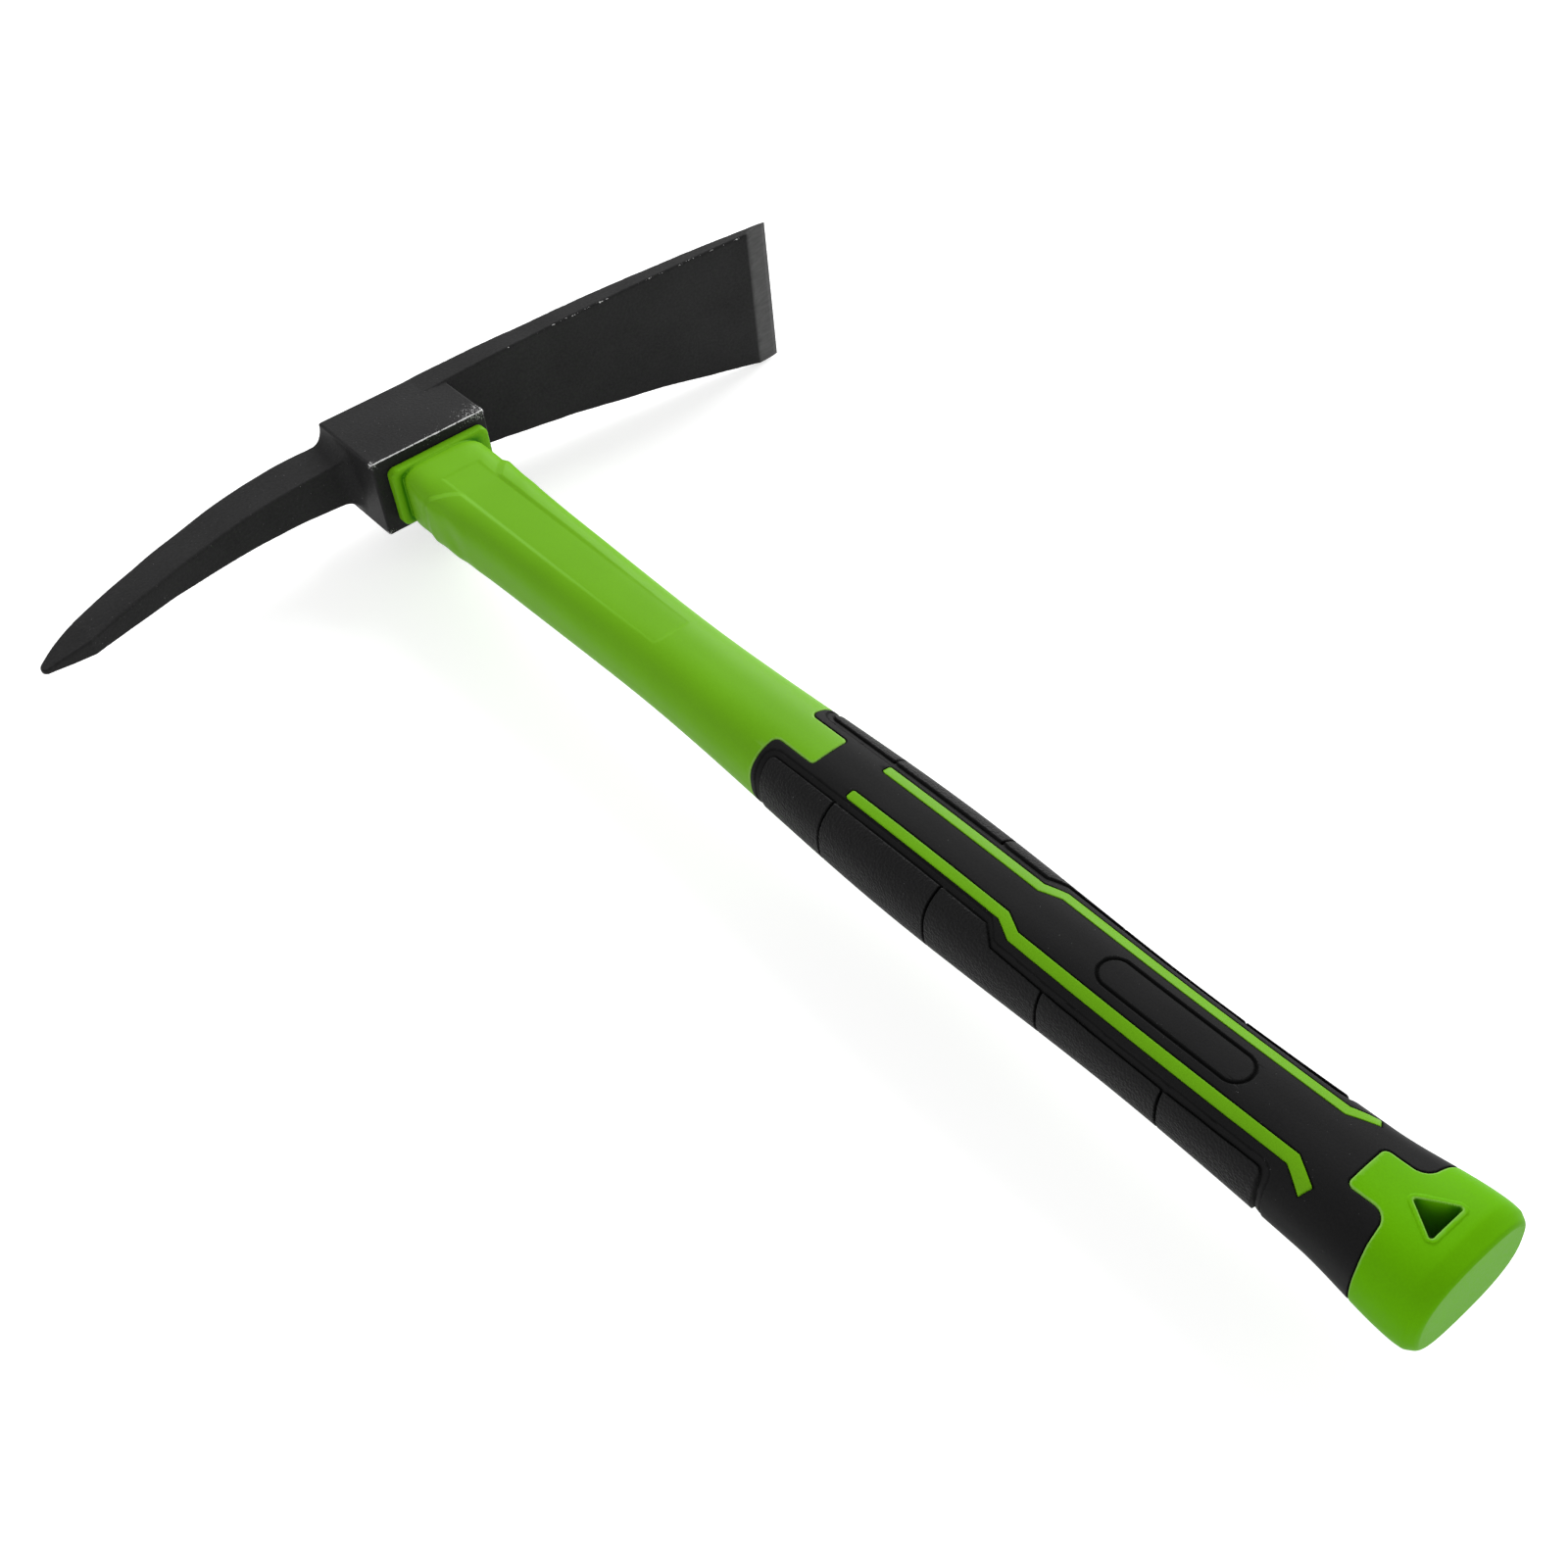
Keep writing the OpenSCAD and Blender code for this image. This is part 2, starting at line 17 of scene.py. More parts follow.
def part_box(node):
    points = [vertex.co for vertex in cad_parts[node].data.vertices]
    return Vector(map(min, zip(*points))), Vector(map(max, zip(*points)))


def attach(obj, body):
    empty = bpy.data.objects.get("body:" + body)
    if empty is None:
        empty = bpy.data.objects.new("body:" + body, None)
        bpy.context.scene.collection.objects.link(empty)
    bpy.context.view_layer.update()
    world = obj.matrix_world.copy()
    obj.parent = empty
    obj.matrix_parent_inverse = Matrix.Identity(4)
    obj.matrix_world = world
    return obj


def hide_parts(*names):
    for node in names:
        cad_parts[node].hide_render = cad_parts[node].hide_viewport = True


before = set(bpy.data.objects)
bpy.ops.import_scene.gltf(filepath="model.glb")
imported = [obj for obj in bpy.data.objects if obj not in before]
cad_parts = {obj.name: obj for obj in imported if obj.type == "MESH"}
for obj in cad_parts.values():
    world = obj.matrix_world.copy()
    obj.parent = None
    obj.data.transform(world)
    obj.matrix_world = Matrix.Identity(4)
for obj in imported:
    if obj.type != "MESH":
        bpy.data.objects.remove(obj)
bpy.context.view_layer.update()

bl_info = {
    "name": "Hand Mattock",
    "version": (1, 0, 0),
    "blender": (4, 5, 0),
    "location": "View3D > Sidebar > Mattock",
    "description": "Builds a hand mattock and a plain studio round its CAD frame",
    "category": "Object",
}

BODY = "root"
MM = 1000.0
SEED = 7
TINY = 1e-9

jacket_low, jacket_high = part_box("handle_jacket")
EYE_FACE = np.array([
    jacket_low.x,
    (jacket_low.y + jacket_high.y) / 2,
    (jacket_low.z + jacket_high.z) / 2,
]) * MM


def length(name, description, mm):
    """A length property whose default is given in millimetres."""
    return FloatProperty(
        name=name, description=description, default=mm / MM, unit="LENGTH", precision=5)


def colour(name, description, rgb):
    """A colour property."""
    return FloatVectorProperty(
        name=name, description=description, default=rgb, subtype="COLOR", size=3, min=0, max=1)


def share(name, description, value):
    """A property between nought and one."""
    return FloatProperty(
        name=name, description=description, default=value, subtype="FACTOR", min=0, max=1)


class MattockHeadSizes(PropertyGroup):
    """Sizes of the forged head."""

    eye_length: length("Eye length", "Eye block along the handle", 31.6)
    eye_width: length("Eye width", "Eye block from the adze to the pick", 40)
    eye_thickness: length("Eye thickness", "Eye block from cheek to cheek", 26)
    eye_round: length("Eye rounding", "Radius of the block's edges", 0.8)
    eye_span: length("Eye hole span", "Straight part of the eye hole", 8)
    eye_near_radius: length("Eye hole near radius", "End radius of the hole at the handle", 8)
    eye_far_radius: length("Eye hole far radius", "End radius of the hole at the far face", 8.8)
    adze_reach: length("Adze reach", "Middle of the eye to the cutting edge", 135.8)
    edge_width: length("Edge width", "Length of the cutting edge", 50.4)
    adze_drop: length("Adze drop", "How far the adze curves towards the butt", 25.9)
    adze_root: length("Adze root", "Thickness of the adze at the eye", 10.5)
    adze_outer_bow: length("Adze outer bow", "Rise of the far face's curve", 3.2)
    adze_inner_bow: length("Adze inner bow", "Depth of the near face's curve", 2.3)
    adze_leave: length("Adze leave", "Where the far face leaves the block", 14.5)
    flare_start: length("Flare start", "Where the adze starts to widen", 12)
    flare_bow: length("Flare bow", "Hollow of the adze's side outline", 0.5)
    bevel_length: length("Bevel length", "Ground bevel behind the edge", 8.3)
    bevel_rise: length("Bevel rise", "Rise of the bevel from the edge", 1.4)
    pick_reach: length("Pick reach", "Middle of the eye to the pick's tip", 127.6)
    knee_length: length("Knee length", "Straight root of the pick", 45)
    point_length: length("Point length", "Blunt point before the tip", 14.6)
    root_width: length("Pick root width", "Pick along the handle at its root", 14.4)
    knee_width: length("Pick knee width", "Pick along the handle at its knee", 14.5)
    point_width: length("Pick point width", "Pick along the handle at its point", 12.3)
    tip_width: length("Pick tip width", "Pick along the handle at its tip", 4)
    root_step: length("Pick root step", "Block's far face to the pick's root", 1.8)
    knee_step: length("Pick knee step", "Block's far face to the pick's knee", 3.9)
    point_step: length("Pick point step", "Block's far face to the pick's point", 19.1)
    tip_step: length("Pick tip step", "Block's far face to the pick's tip", 27.8)
    root_thickness: length("Pick root thickness", "Pick from cheek to cheek at its root", 14.8)
    point_thickness: length("Pick point thickness", "Pick from cheek to cheek at its point", 5.2)
    tip_thickness: length("Pick tip thickness", "Pick from cheek to cheek at its tip", 1.6)
    pick_fillet: length("Pick fillet", "Radius where the pick leaves the block", 5)
    forged_round: length("Forged rounding", "Radius of the forging's edges", 0.7)


class MattockHandleSizes(PropertyGroup):
    """Sizes of the jacket, grip, stripes and cap."""

    handle_length: length("Handle length", "Eye's near face to the butt", 369.8)
    collar_width: length("Collar width", "Collar across its face, before its corners draw in", 35.6)
    collar_shift: length("Collar shift", "How far the collar stands over towards the adze", 1.0)
    collar_thickness: length("Collar thickness", "Collar from face to face, likewise", 21.2)
    collar_length: length("Collar length", "Collar along the handle", 4.5)
    collar_corner: length("Collar corner", "Radius of the collar's corners", 3.2)
    collar_rim: length("Collar rim", "Radius of the collar's edges", 1.2)
    valley_length: length("Valley length", "Hollow of the neck behind the collar", 4)
    valley_depth: length("Valley depth", "Depth of that hollow", 0.6)
    wrinkle: length("Wrinkle", "Wrinkles where the sleeve starts", 0.16)
    slot_height: length("Slot height", "Slot behind the collar from face to face", 16)
    slot_floor: length("Slot floor", "Slot floor to the handle's middle", 12.9)
    sleeve_step: length("Sleeve step", "Step at the front of the raised sleeve", 0.75)
    sleeve_start: length("Sleeve start", "Collar side of the sleeve at the panel", 26)
    sleeve_ramp: length("Sleeve ramp", "Length of the sleeve's sloping front", 3.4)
    panel_start: length("Panel start", "Front end of the sunk panel", 17)
    panel_end: length("Panel end", "Rear end of the sunk panel", 120.5)
    panel_half: length("Panel half width", "Half of the sunk panel's width", 6.2)
    panel_rise: length("Panel rise", "How far its floor rises to the rear", 0.4)
    panel_floor: length("Panel floor", "Panel floor to the middle at its front", 9.75)
    grip_start: length("Grip start", "Front of the grip", 170.5)
    grip_depth: length("Grip depth", "Thickness of the rubber", 2)
    tongue_half: length("Tongue half width", "Half of the jacket's tongue", 5.6)
    tongue_length: length("Tongue length", "Jacket's tongue in the grip", 14)
    cap_start: length("Cap start", "Front of the end cap", 353.3)
    cap_tongue_half: length("Cap tongue half width", "Half of the cap's tongue", 5.9)
    cap_tongue: length("Cap tongue", "Cap's tongue in the grip", 10.0)
    seam_round: length("Seam rounding", "Edge radius where two mouldings meet", 0.4)
    stripe_half: length("Stripe half width", "Half of a stripe's width", 1.36)
    stripe_nose: length("Stripe nose", "Radius of the stripe's front corners", 1.0)
    groove_half: length("Groove half width", "Half of a pad groove's width", 0.3)
    groove_depth: length("Groove depth", "Depth of the groove along a pad", 0.23)
    split_half: length("Split half width", "Half of a split between two pads", 0.38)
    split_depth: length("Split depth", "Depth of a split between two pads", 1.25)
    line_half: length("Frame line half width", "Half of the fine line beside the pads", 0.3)
    line_depth: length("Frame line depth", "Depth of that line", 0.24)
    ledge_width: length("Ledge width", "Ledge between the fine line and the pad", 1.7)
    ledge_depth: length("Ledge depth", "How far the ledge is sunk", 0.42)
    pad_rise: length("Pad rise", "How far a pad stands above the ledge", 0.56)
    oval_half_width: length("Oval half width", "Half of the oval line's width over all", 4.1)
    oval_groove: length("Oval line", "Half width of the oval line itself", 0.5)
    oval_depth: length("Oval line depth", "Depth of the oval line", 0.5)
    hole_base: length("Hole base", "Hang hole's flat side to the butt", 7.95)
    hole_height: length("Hole height", "Hang hole from flat side to apex", 8.0)
    hole_width: length("Hole width", "Flat side of the hang hole", 10.4)
    hole_round: length("Hole rounding", "Radius of the hole's corners", 0.55)
    lip_width: length("Lip width", "Raised lip round the hang hole", 1.0)
    lip_height: length("Lip height", "Rise of the lip", 0.2)
    rim_length: length("Rim length", "Sloping rim of the butt on its broad faces", 4.2)
    side_rim_length: length("Side rim length", "Sloping rim on the narrow sides", 2.2)
    rim_depth: length("Rim depth", "How far the rim rolls in", 1.6)


class MattockFinish(PropertyGroup):
    """Colours of the finishes and the level of the light."""

    paint: colour("Head paint", "Matte paint of the head", (0.018, 0.018, 0.0184))
    steel: colour("Bare steel", "Steel where the paint has worn off", (0.82, 0.82, 0.82))
    green: colour("Jacket green", "Moulded jacket and stripes", (0.158, 0.43, 0.006))
    cap_green: colour("Cap green", "Moulded end cap", (0.135, 0.45, 0.001))
    # Painted shade: the green that darkens hollows, creases and the slot behind the collar
    hollow_shade_green: colour("Deep green", "Green down in a hollow", (0.04, 0.23, 0.0))
    # Painted highlight: the pale green along the seams and round the hang hole
    seam_highlight_green: colour("Pale green", "Green along a seam", (0.36, 0.64, 0.16))
    rubber: colour("Grip rubber", "Rubber of the grip", (0.0136, 0.0136, 0.0138))
    pad_rubber: colour("Pad rubber", "Rubber of the pads, dulled by use", (0.021, 0.021, 0.0213))
    fibre: colour("Core", "Glass-fibre core", (0.55, 0.485, 0.29))
    resin: colour("Resin", "Resin in the eye", (0.3, 0.22, 0.1))
    key_level: share("Key light", "Level of the soft lamp behind the tool", 0.7)
    sky_level: share("Sky light", "Level of the white light round the tool", 1.0)


def millimetres(group):
    """The lengths of a property group as plain numbers in millimetres."""
    names = type(group).__annotations__
    return SimpleNamespace(**{name: getattr(group, name) * MM for name in names})


def smooth(low, high, v):
    """A soft step from nought at low to one at high."""
    u = np.clip((v - low) / (high - low), 0, 1)
    return u * u * (3 - 2 * u)


def rounded_cut(a, b, r):
    """What lies in both fields, with the edge between them rounded."""
    return np.minimum(np.maximum(a, b), -r) + np.hypot(np.maximum(a + r, 0), np.maximum(b + r, 0))


def filleted_join(a, b, r):
    """What lies in either field, with a fillet between them."""
    return np.maximum(np.minimum(a, b), r) - np.hypot(np.maximum(r - a, 0), np.maximum(r - b, 0))


def rounded_box(x, y, z, low, high, r):
    """Distance to a box with rounded edges."""
    sides = [np.maximum(lo - v, v - hi) + r for v, lo, hi in zip((x, y, z), low, high)]
    outside = np.sqrt(sum(np.maximum(side, 0) ** 2 for side in sides))
    deepest = np.maximum(np.maximum(sides[0], sides[1]), sides[2])
    return outside + np.minimum(deepest, 0) - r


def outline_distance(u, v, points):
    """Distance to a closed outline in a plane, below nought inside it."""
    shape = np.broadcast(u, v).shape
    nearest = np.full(shape, np.inf)
    inside = np.zeros(shape, bool)
    for (u0, v0), (u1, v1) in zip(points, points[1:] + points[:1]):
        du, dv = u1 - u0, v1 - v0
        along = np.clip(((u - u0) * du + (v - v0) * dv) / (du * du + dv * dv), 0, 1)
        nearest = np.minimum(nearest, (u - u0 - along * du) ** 2 + (v - v0 - along * dv) ** 2)
        if dv:
            inside ^= ((v0 > v) != (v1 > v)) & (u < u0 + (v - v0) * du / dv)
    return np.where(inside, -1, 1) * np.sqrt(nearest)


def bowed(a, b, rise, count=12):
    """Points from a to b on a curve that stands proud on the left of the way."""
    a, b = np.array(a, float), np.array(b, float)
    way = b - a
    left = np.array([-way[1], way[0]]) / np.hypot(*way)
    shares = np.linspace(0, 1, count)
    return [tuple(a + way * s + left * 4 * rise * s * (1 - s)) for s in shares]


RIPPLE_WAVES = 5
RIPPLE_SPREAD = (0.7, 1.4)
RIPPLE_SCALE = 3


def ripple(x, y, z, wave, seed):
    """A smooth random swell between about minus one and one."""
    rng = np.random.default_rng(seed)
    total = 0
    for _ in range(RIPPLE_WAVES):
        way = rng.normal(size=3)
        way *= 2 * np.pi / wave / np.linalg.norm(way) * rng.uniform(*RIPPLE_SPREAD)
        total = total + np.sin(way[0] * x + way[1] * y + way[2] * z + rng.uniform(0, 2 * np.pi))
    return total / RIPPLE_SCALE


LEAST_SLOPE = 0.05


def unit(rows):
    """Rows of numbers scaled to a length of one."""
    return rows / np.maximum(np.linalg.norm(rows, axis=1, keepdims=True), TINY)


def gradient(field, points, step=0.02):
    """Slope of a field at points."""
    slopes = []
    for axis in range(3):
        shift = np.zeros(3)
        shift[axis] = step
        ahead = field(*(points + shift).T)
        slopes.append((ahead - field(*(points - shift).T)) / (2 * step))
    return np.stack(slopes, axis=1)


def settled(field, points, rounds=2, most=0.4):
    """Points moved onto the field's surface."""
    for _ in range(rounds):
        slope = gradient(field, points)
        size = np.maximum((slope ** 2).sum(axis=1), LEAST_SLOPE)
        step = (field(*points.T) / size)[:, None] * slope
        reach = np.maximum(np.linalg.norm(step, axis=1, keepdims=True), TINY)
        points = points - step * np.minimum(1, most / reach)
    return points


CORNERS = [(i, j, k) for i in (0, 1) for j in (0, 1) for k in (0, 1)]
CELL_EDGES = [
    (a, b) for a in CORNERS for b in CORNERS
    if a < b and sum(abs(p - q) for p, q in zip(a, b)) == 1
]
# Cells round a mesh's box, and the shares of a cell where it is close or quick
MARGIN_CELLS = 1.5
CLOSE_CELL = 0.35


def spaced(low, high, step, close):
    """Places along an axis, closer together inside the ranges that need it."""
    places = [low - MARGIN_CELLS * step]
    while places[-1] < high + MARGIN_CELLS * step:
        near = any(start - step < places[-1] < stop for start, stop in close)
        places.append(places[-1] + step * (CLOSE_CELL if near else 1))
    return np.array(places)


def surface(field, axes):
    """Vertices and quads of the surface where a field is nought."""
    counts = [len(places) for places in axes]
    values = field(axes[0][:, None, None], axes[1][None, :, None], axes[2][None, None, :])
    values = np.broadcast_to(values, counts)
    within = values < 0
    filled = sum(
        within[i:counts[0] - 1 + i, j:counts[1] - 1 + j, k:counts[2] - 1 + k].astype(np.int8)
        for i, j, k in CORNERS)
    cells = np.argwhere((filled > 0) & (filled < len(CORNERS)))
    places = np.zeros((len(cells), 3))
    crossed = np.zeros(len(cells))
    for a, b in CELL_EDGES:
        at_a = values[tuple((cells + a).T)]
        at_b = values[tuple((cells + b).T)]
        hit = (at_a < 0) != (at_b < 0)
        along = np.where(hit, at_a / np.where(hit, at_a - at_b, 1), 0)[:, None]
        places += np.where(hit[:, None], np.array(a) * (1 - along) + np.array(b) * along, 0)
        crossed += hit
    places /= crossed[:, None]
    points = np.stack([
        axis[cell] + np.diff(axis)[cell] * place
        for axis, cell, place in zip(axes, cells.T, places.T)], axis=1)
    number = np.full([n - 1 for n in counts], -1, np.int32)
    number[tuple(cells.T)] = np.arange(len(cells))
    quads = []
    for axis in range(3):
        first, second = (axis + 1) % 3, (axis + 2) % 3
        start = [slice(1, n - 1) for n in counts]
        ahead = list(start)
        start[axis] = slice(0, counts[axis] - 1)
        ahead[axis] = slice(1, counts[axis])
        left, right = within[tuple(start)], within[tuple(ahead)]
        for outward, flips in ((left & ~right, False), (right & ~left, True)):
            at = np.argwhere(outward)
            at[:, first] += 1
            at[:, second] += 1
            ring = []
            for back_first, back_second in ((1, 1), (0, 1), (0, 0), (1, 0)):
                corner = at.copy()
                corner[:, first] -= back_first
                corner[:, second] -= back_second
                ring.append(number[tuple(corner.T)])
            quads.append(np.stack(ring[::-1] if flips else ring, axis=1))
    return points, np.concatenate(quads)


def show(name, nodes, mesh, material):
    """Links a mesh as a piece of the mattock that stands for CAD nodes."""
    piece = bpy.data.objects.new(name, mesh)
    bpy.context.scene.collection.objects.link(piece)
    mesh.materials.append(material)
    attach(piece, BODY)
    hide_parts(*nodes)


def field_mesh(name, field, low, high, cell, keep, marks=(), trim=None, close=((), (), ())):
    """A smooth mesh of a field's surface, thinned to a share of its faces, with its marks."""
    points, quads = surface(field, [spaced(*axis) for axis in zip(low, high, cell, close)])
    points = settled(field, points)
    if trim:
        points = trim(points)
    dense = bpy.data.meshes.new(name + "_dense")
    dense.from_pydata(points, [], quads)
    holder = bpy.data.objects.new(name + "_dense", dense)
    bpy.context.scene.collection.objects.link(holder)
    thin = holder.modifiers.new("Thin", "DECIMATE")
    thin.ratio = keep
    mesh = bpy.data.meshes.new_from_object(
        holder.evaluated_get(bpy.context.evaluated_depsgraph_get()))
    bpy.data.objects.remove(holder)
    bpy.data.meshes.remove(dense)
    mesh.name = name
    flat = np.empty(len(mesh.vertices) * 3)
    mesh.vertices.foreach_get("co", flat)
    points = settled(field, flat.reshape(-1, 3), rounds=1, most=0.1)
    if trim:
        points = trim(points)
    for label, mark in marks:
        layer = mesh.attributes.new(label, "FLOAT", "POINT")
        layer.data.foreach_set("value", mark(field, points).astype(np.float32))
    normals = unit(gradient(field, points))
    mesh.vertices.foreach_set("co", ((points + EYE_FACE) / MM).ravel())
    mesh.polygons.foreach_set("use_smooth", np.ones(len(mesh.polygons), bool))
    mesh.update()
    mesh.normals_split_custom_set_from_vertices(normals)
    return mesh


# Points on the head's curves, what its outlines add inside it, and their bows
FACE_STEPS = 16
TIP_STEPS = 6
NOSE_STEPS = 5
ADZE_INSET = 10
FLARE_INSET = 5
FLARE_OVERRUN = (2, 0.2)
PICK_FAR_BOW = 2.2
PICK_NEAR_BOW = 1.6
POINT_BOW = 0.95
TIP_BOW = 0.7
NOSE_BOW = 1.2
TIP_OVERRUN = 1


def mirrored(upper):
    """A closed outline from its upper half."""
    return upper + [(u, -v) for u, v in reversed(upper)]


def cutting_edge(s):
    """The cutting edge and the back of its ground bevel, seen along the head's thickness."""
    edge = (s.adze_drop - s.eye_length, s.adze_reach)
    return edge, (edge[0] + s.bevel_rise, s.adze_reach - s.bevel_length)


def adze_outlines(s):
    """The adze's outline seen along the head's thickness, and seen along the handle."""
    edge, bevel = cutting_edge(s)
    half_thick = s.eye_thickness / 2
    near_root = (s.adze_root - s.eye_length, s.eye_width / 2)
    plan = (
        bowed((-s.eye_length, s.adze_leave), edge, s.adze_outer_bow, FACE_STEPS)
        + bowed(bevel, near_root, -s.adze_inner_bow, FACE_STEPS)
        + [(near_root[0], ADZE_INSET), (-s.eye_length, ADZE_INSET)])
    flare = bowed(
        (s.flare_start, half_thick), (s.adze_reach, s.edge_width / 2), -s.flare_bow)
    beyond = (s.adze_reach + FLARE_OVERRUN[0], s.edge_width / 2 + FLARE_OVERRUN[1])
    return plan, mirrored([(FLARE_INSET, half_thick)] + flare + [beyond])


def pick_outlines(s):
    """The pick's outline seen along the head's thickness, and seen along the handle."""
    half_width = s.eye_width / 2
    point_y = s.point_length - s.pick_reach
    steps = (s.root_step, s.knee_step, s.point_step, s.tip_step)
    ways = (-half_width, -half_width - s.knee_length, point_y, -s.pick_reach)
    widths = (s.root_width, s.knee_width, s.point_width, s.tip_width)
    far = [(step - s.eye_length, y) for step, y in zip(steps, ways)]
    near = [(x + w, y) for (x, y), w in zip(far, widths)]
    plan = (
        [(far[0][0], 0)]
        + bowed(far[0], far[1], -PICK_FAR_BOW) + bowed(far[1], far[2], -POINT_BOW)[1:]
        + bowed(far[2], far[3], -TIP_BOW, TIP_STEPS)[1:-1]
        + bowed(far[3], near[3], -NOSE_BOW, NOSE_STEPS)
        + bowed(near[2], near[1], POINT_BOW) + bowed(near[1], near[0], PICK_NEAR_BOW)[1:]
        + [(near[0][0], 0)])
    cheek = [
        (0, s.root_thickness / 2), (-half_width, s.root_thickness / 2),
        (point_y, s.point_thickness / 2), (-s.pick_reach - TIP_OVERRUN, s.tip_thickness / 2)]
    return plan, mirrored(cheek)


# Fillets of the adze, the swell of the forged faces, and the eye's mouth
CHEEK_FILLET = 0.05
ROOT_FILLET = 0.55
FILLET_FADE = (0.4, 2.5)
SWELL_START = (20, 34)
SWELL_END = (3, 14)
SWELLS = ((0.12, 24, SEED), (0.05, 8, SEED + 1))
EYE_MOUTH = 0.6


def head_field(s):
    """The forged head: eye block, adze and pick, with the eye hole through the block."""
    half_width, half_thick = s.eye_width / 2, s.eye_thickness / 2
    adze_plan, adze_side = adze_outlines(s)
    pick_plan, pick_side = pick_outlines(s)

    def field(x, y, z):
        block = rounded_box(
            x, y, z, (-s.eye_length, -half_width, -half_thick), (0, half_width, half_thick),
            s.eye_round)
        adze = rounded_cut(
            outline_distance(x, y, adze_plan), outline_distance(y, z, adze_side), s.forged_round)
        pick = rounded_cut(
            outline_distance(x, y, pick_plan), outline_distance(y, z, pick_side), s.forged_round)
        fade = smooth(half_thick - FILLET_FADE[0], half_thick - FILLET_FADE[1], np.abs(z))
        head = filleted_join(block, adze, CHEEK_FILLET + ROOT_FILLET * fade)
        head = filleted_join(head, pick, s.pick_fillet)
        uneven = sum(level * ripple(x, y, z, wave, seed) for level, wave, seed in SWELLS)
        ground = smooth(s.adze_reach - SWELL_END[0], s.adze_reach - SWELL_END[1], y)
        head = head + smooth(*SWELL_START, np.abs(y)) * ground * uneven
        radius = s.eye_near_radius + (s.eye_far_radius - s.eye_near_radius) * -x / s.eye_length
        hole = np.hypot(np.maximum(np.abs(y) - s.eye_span / 2, 0), z) - radius
        return rounded_cut(head, -hole, EYE_MOUTH)

    return field


EDGE_DRAW = (1.6, 0.7)


def sharp_edge(s):
    """Draws the thin steel at the cutting edge out to the edge's own line."""
    edge, _ = cutting_edge(s)

    def trim(points):
        near = smooth(edge[1] - EDGE_DRAW[0], edge[1] - EDGE_DRAW[1], points[:, 1])
        points = points.copy()
        points[:, 0] += (edge[0] - points[:, 0]) * near
        points[:, 1] += (edge[1] - points[:, 1]) * near
        return points

    return trim


EDGE_TURN = (0.3, 0.55)
BEVEL_BACK = 0.5
BEVEL_DEPTH = (1.2, 0.5)


def edge_mark(field, points):
    """One on the forging's edges and nought on its faces."""
    slope = np.abs(unit(gradient(field, points)))
    return smooth(*EDGE_TURN, np.sort(slope, axis=1)[:, 1])


def ground_mark(s):
    """One on the ground bevel behind the cutting edge."""
    edge, bevel = cutting_edge(s)

    def mark(field, points):
        x, y, _ = points.T
        along = np.clip((y - bevel[1]) / (edge[1] - bevel[1]), 0, 1)
        face = bevel[0] + (edge[0] - bevel[0]) * along
        behind = smooth(bevel[1] - BEVEL_BACK, bevel[1] + BEVEL_BACK, y)
        return behind * smooth(*BEVEL_DEPTH, np.abs(x - face))

    return mark


# Reaches of the hollow mark for the painted shade, and the bands of the seam mark for the painted
# highlight
HOLLOW_REACHES = (0.8, 1.7, 3.2)
HOLLOW_RANGE = (0.15, 2.3)
SEAM_BAND = (0.5, 0.2)
SEAM_DEPTH = (-0.35, -0.1)
LIP_BAND = (0.45, 0.15)
LIP_DEPTH = (0.0, 0.14)


def hollow_shade_mark(field, points):
    """How far a place lies in a hollow: nought on open faces, one in a deep corner. The green is
    darkened by it as painted shade.
    """
    way = unit(gradient(field, points))
    shut = 0
    for reach in HOLLOW_REACHES:
        clear = field(*(points + way * reach).T) / reach
        shut = shut + np.clip(1 - clear, 0, 1)
    return smooth(*HOLLOW_RANGE, shut)


def seam_distance(s, x, y):
    """Distance to the lines where the green mouldings meet the grip."""
    front, rear = outline_distance(x, y, jacket_end(s)), outline_distance(x, y, cap_front(s))
    return np.minimum(np.abs(front), np.abs(rear))


def seam_highlight_mark(s):
    """One along the edges where the green mouldings meet the grip, and round the hang hole, where a
    pale highlight is painted.
    """
    def mark(field, points):
        x, y, z = points.T
        proud = skin(s, x, y, z)
        seams = smooth(*SEAM_BAND, seam_distance(s, x, y)) * smooth(*SEAM_DEPTH, proud)
        edge = smooth(*LIP_BAND, np.abs(hole_distance(s, x, y))) * smooth(*LIP_DEPTH, proud)
        return np.maximum(seams, edge)

    return mark


# Rows: neck, throat, waist, belly, hollow, tail and butt. Columns: the share of the handle's
# length, half of the width, half of the thickness, and the squareness of the outline
HANDLE_FORM = np.array([
    [0.0103, 15.90, 10.40, 4.0],
    [0.168, 13.65, 10.40, 3.4],
    [0.330, 13.25, 10.40, 2.6],
    [0.595, 15.80, 11.95, 2.6],
    [0.795, 14.20, 11.05, 2.6],
    [0.920, 15.15, 11.60, 2.6],
    [0.9878, 17.70, 12.80, 2.6],
])


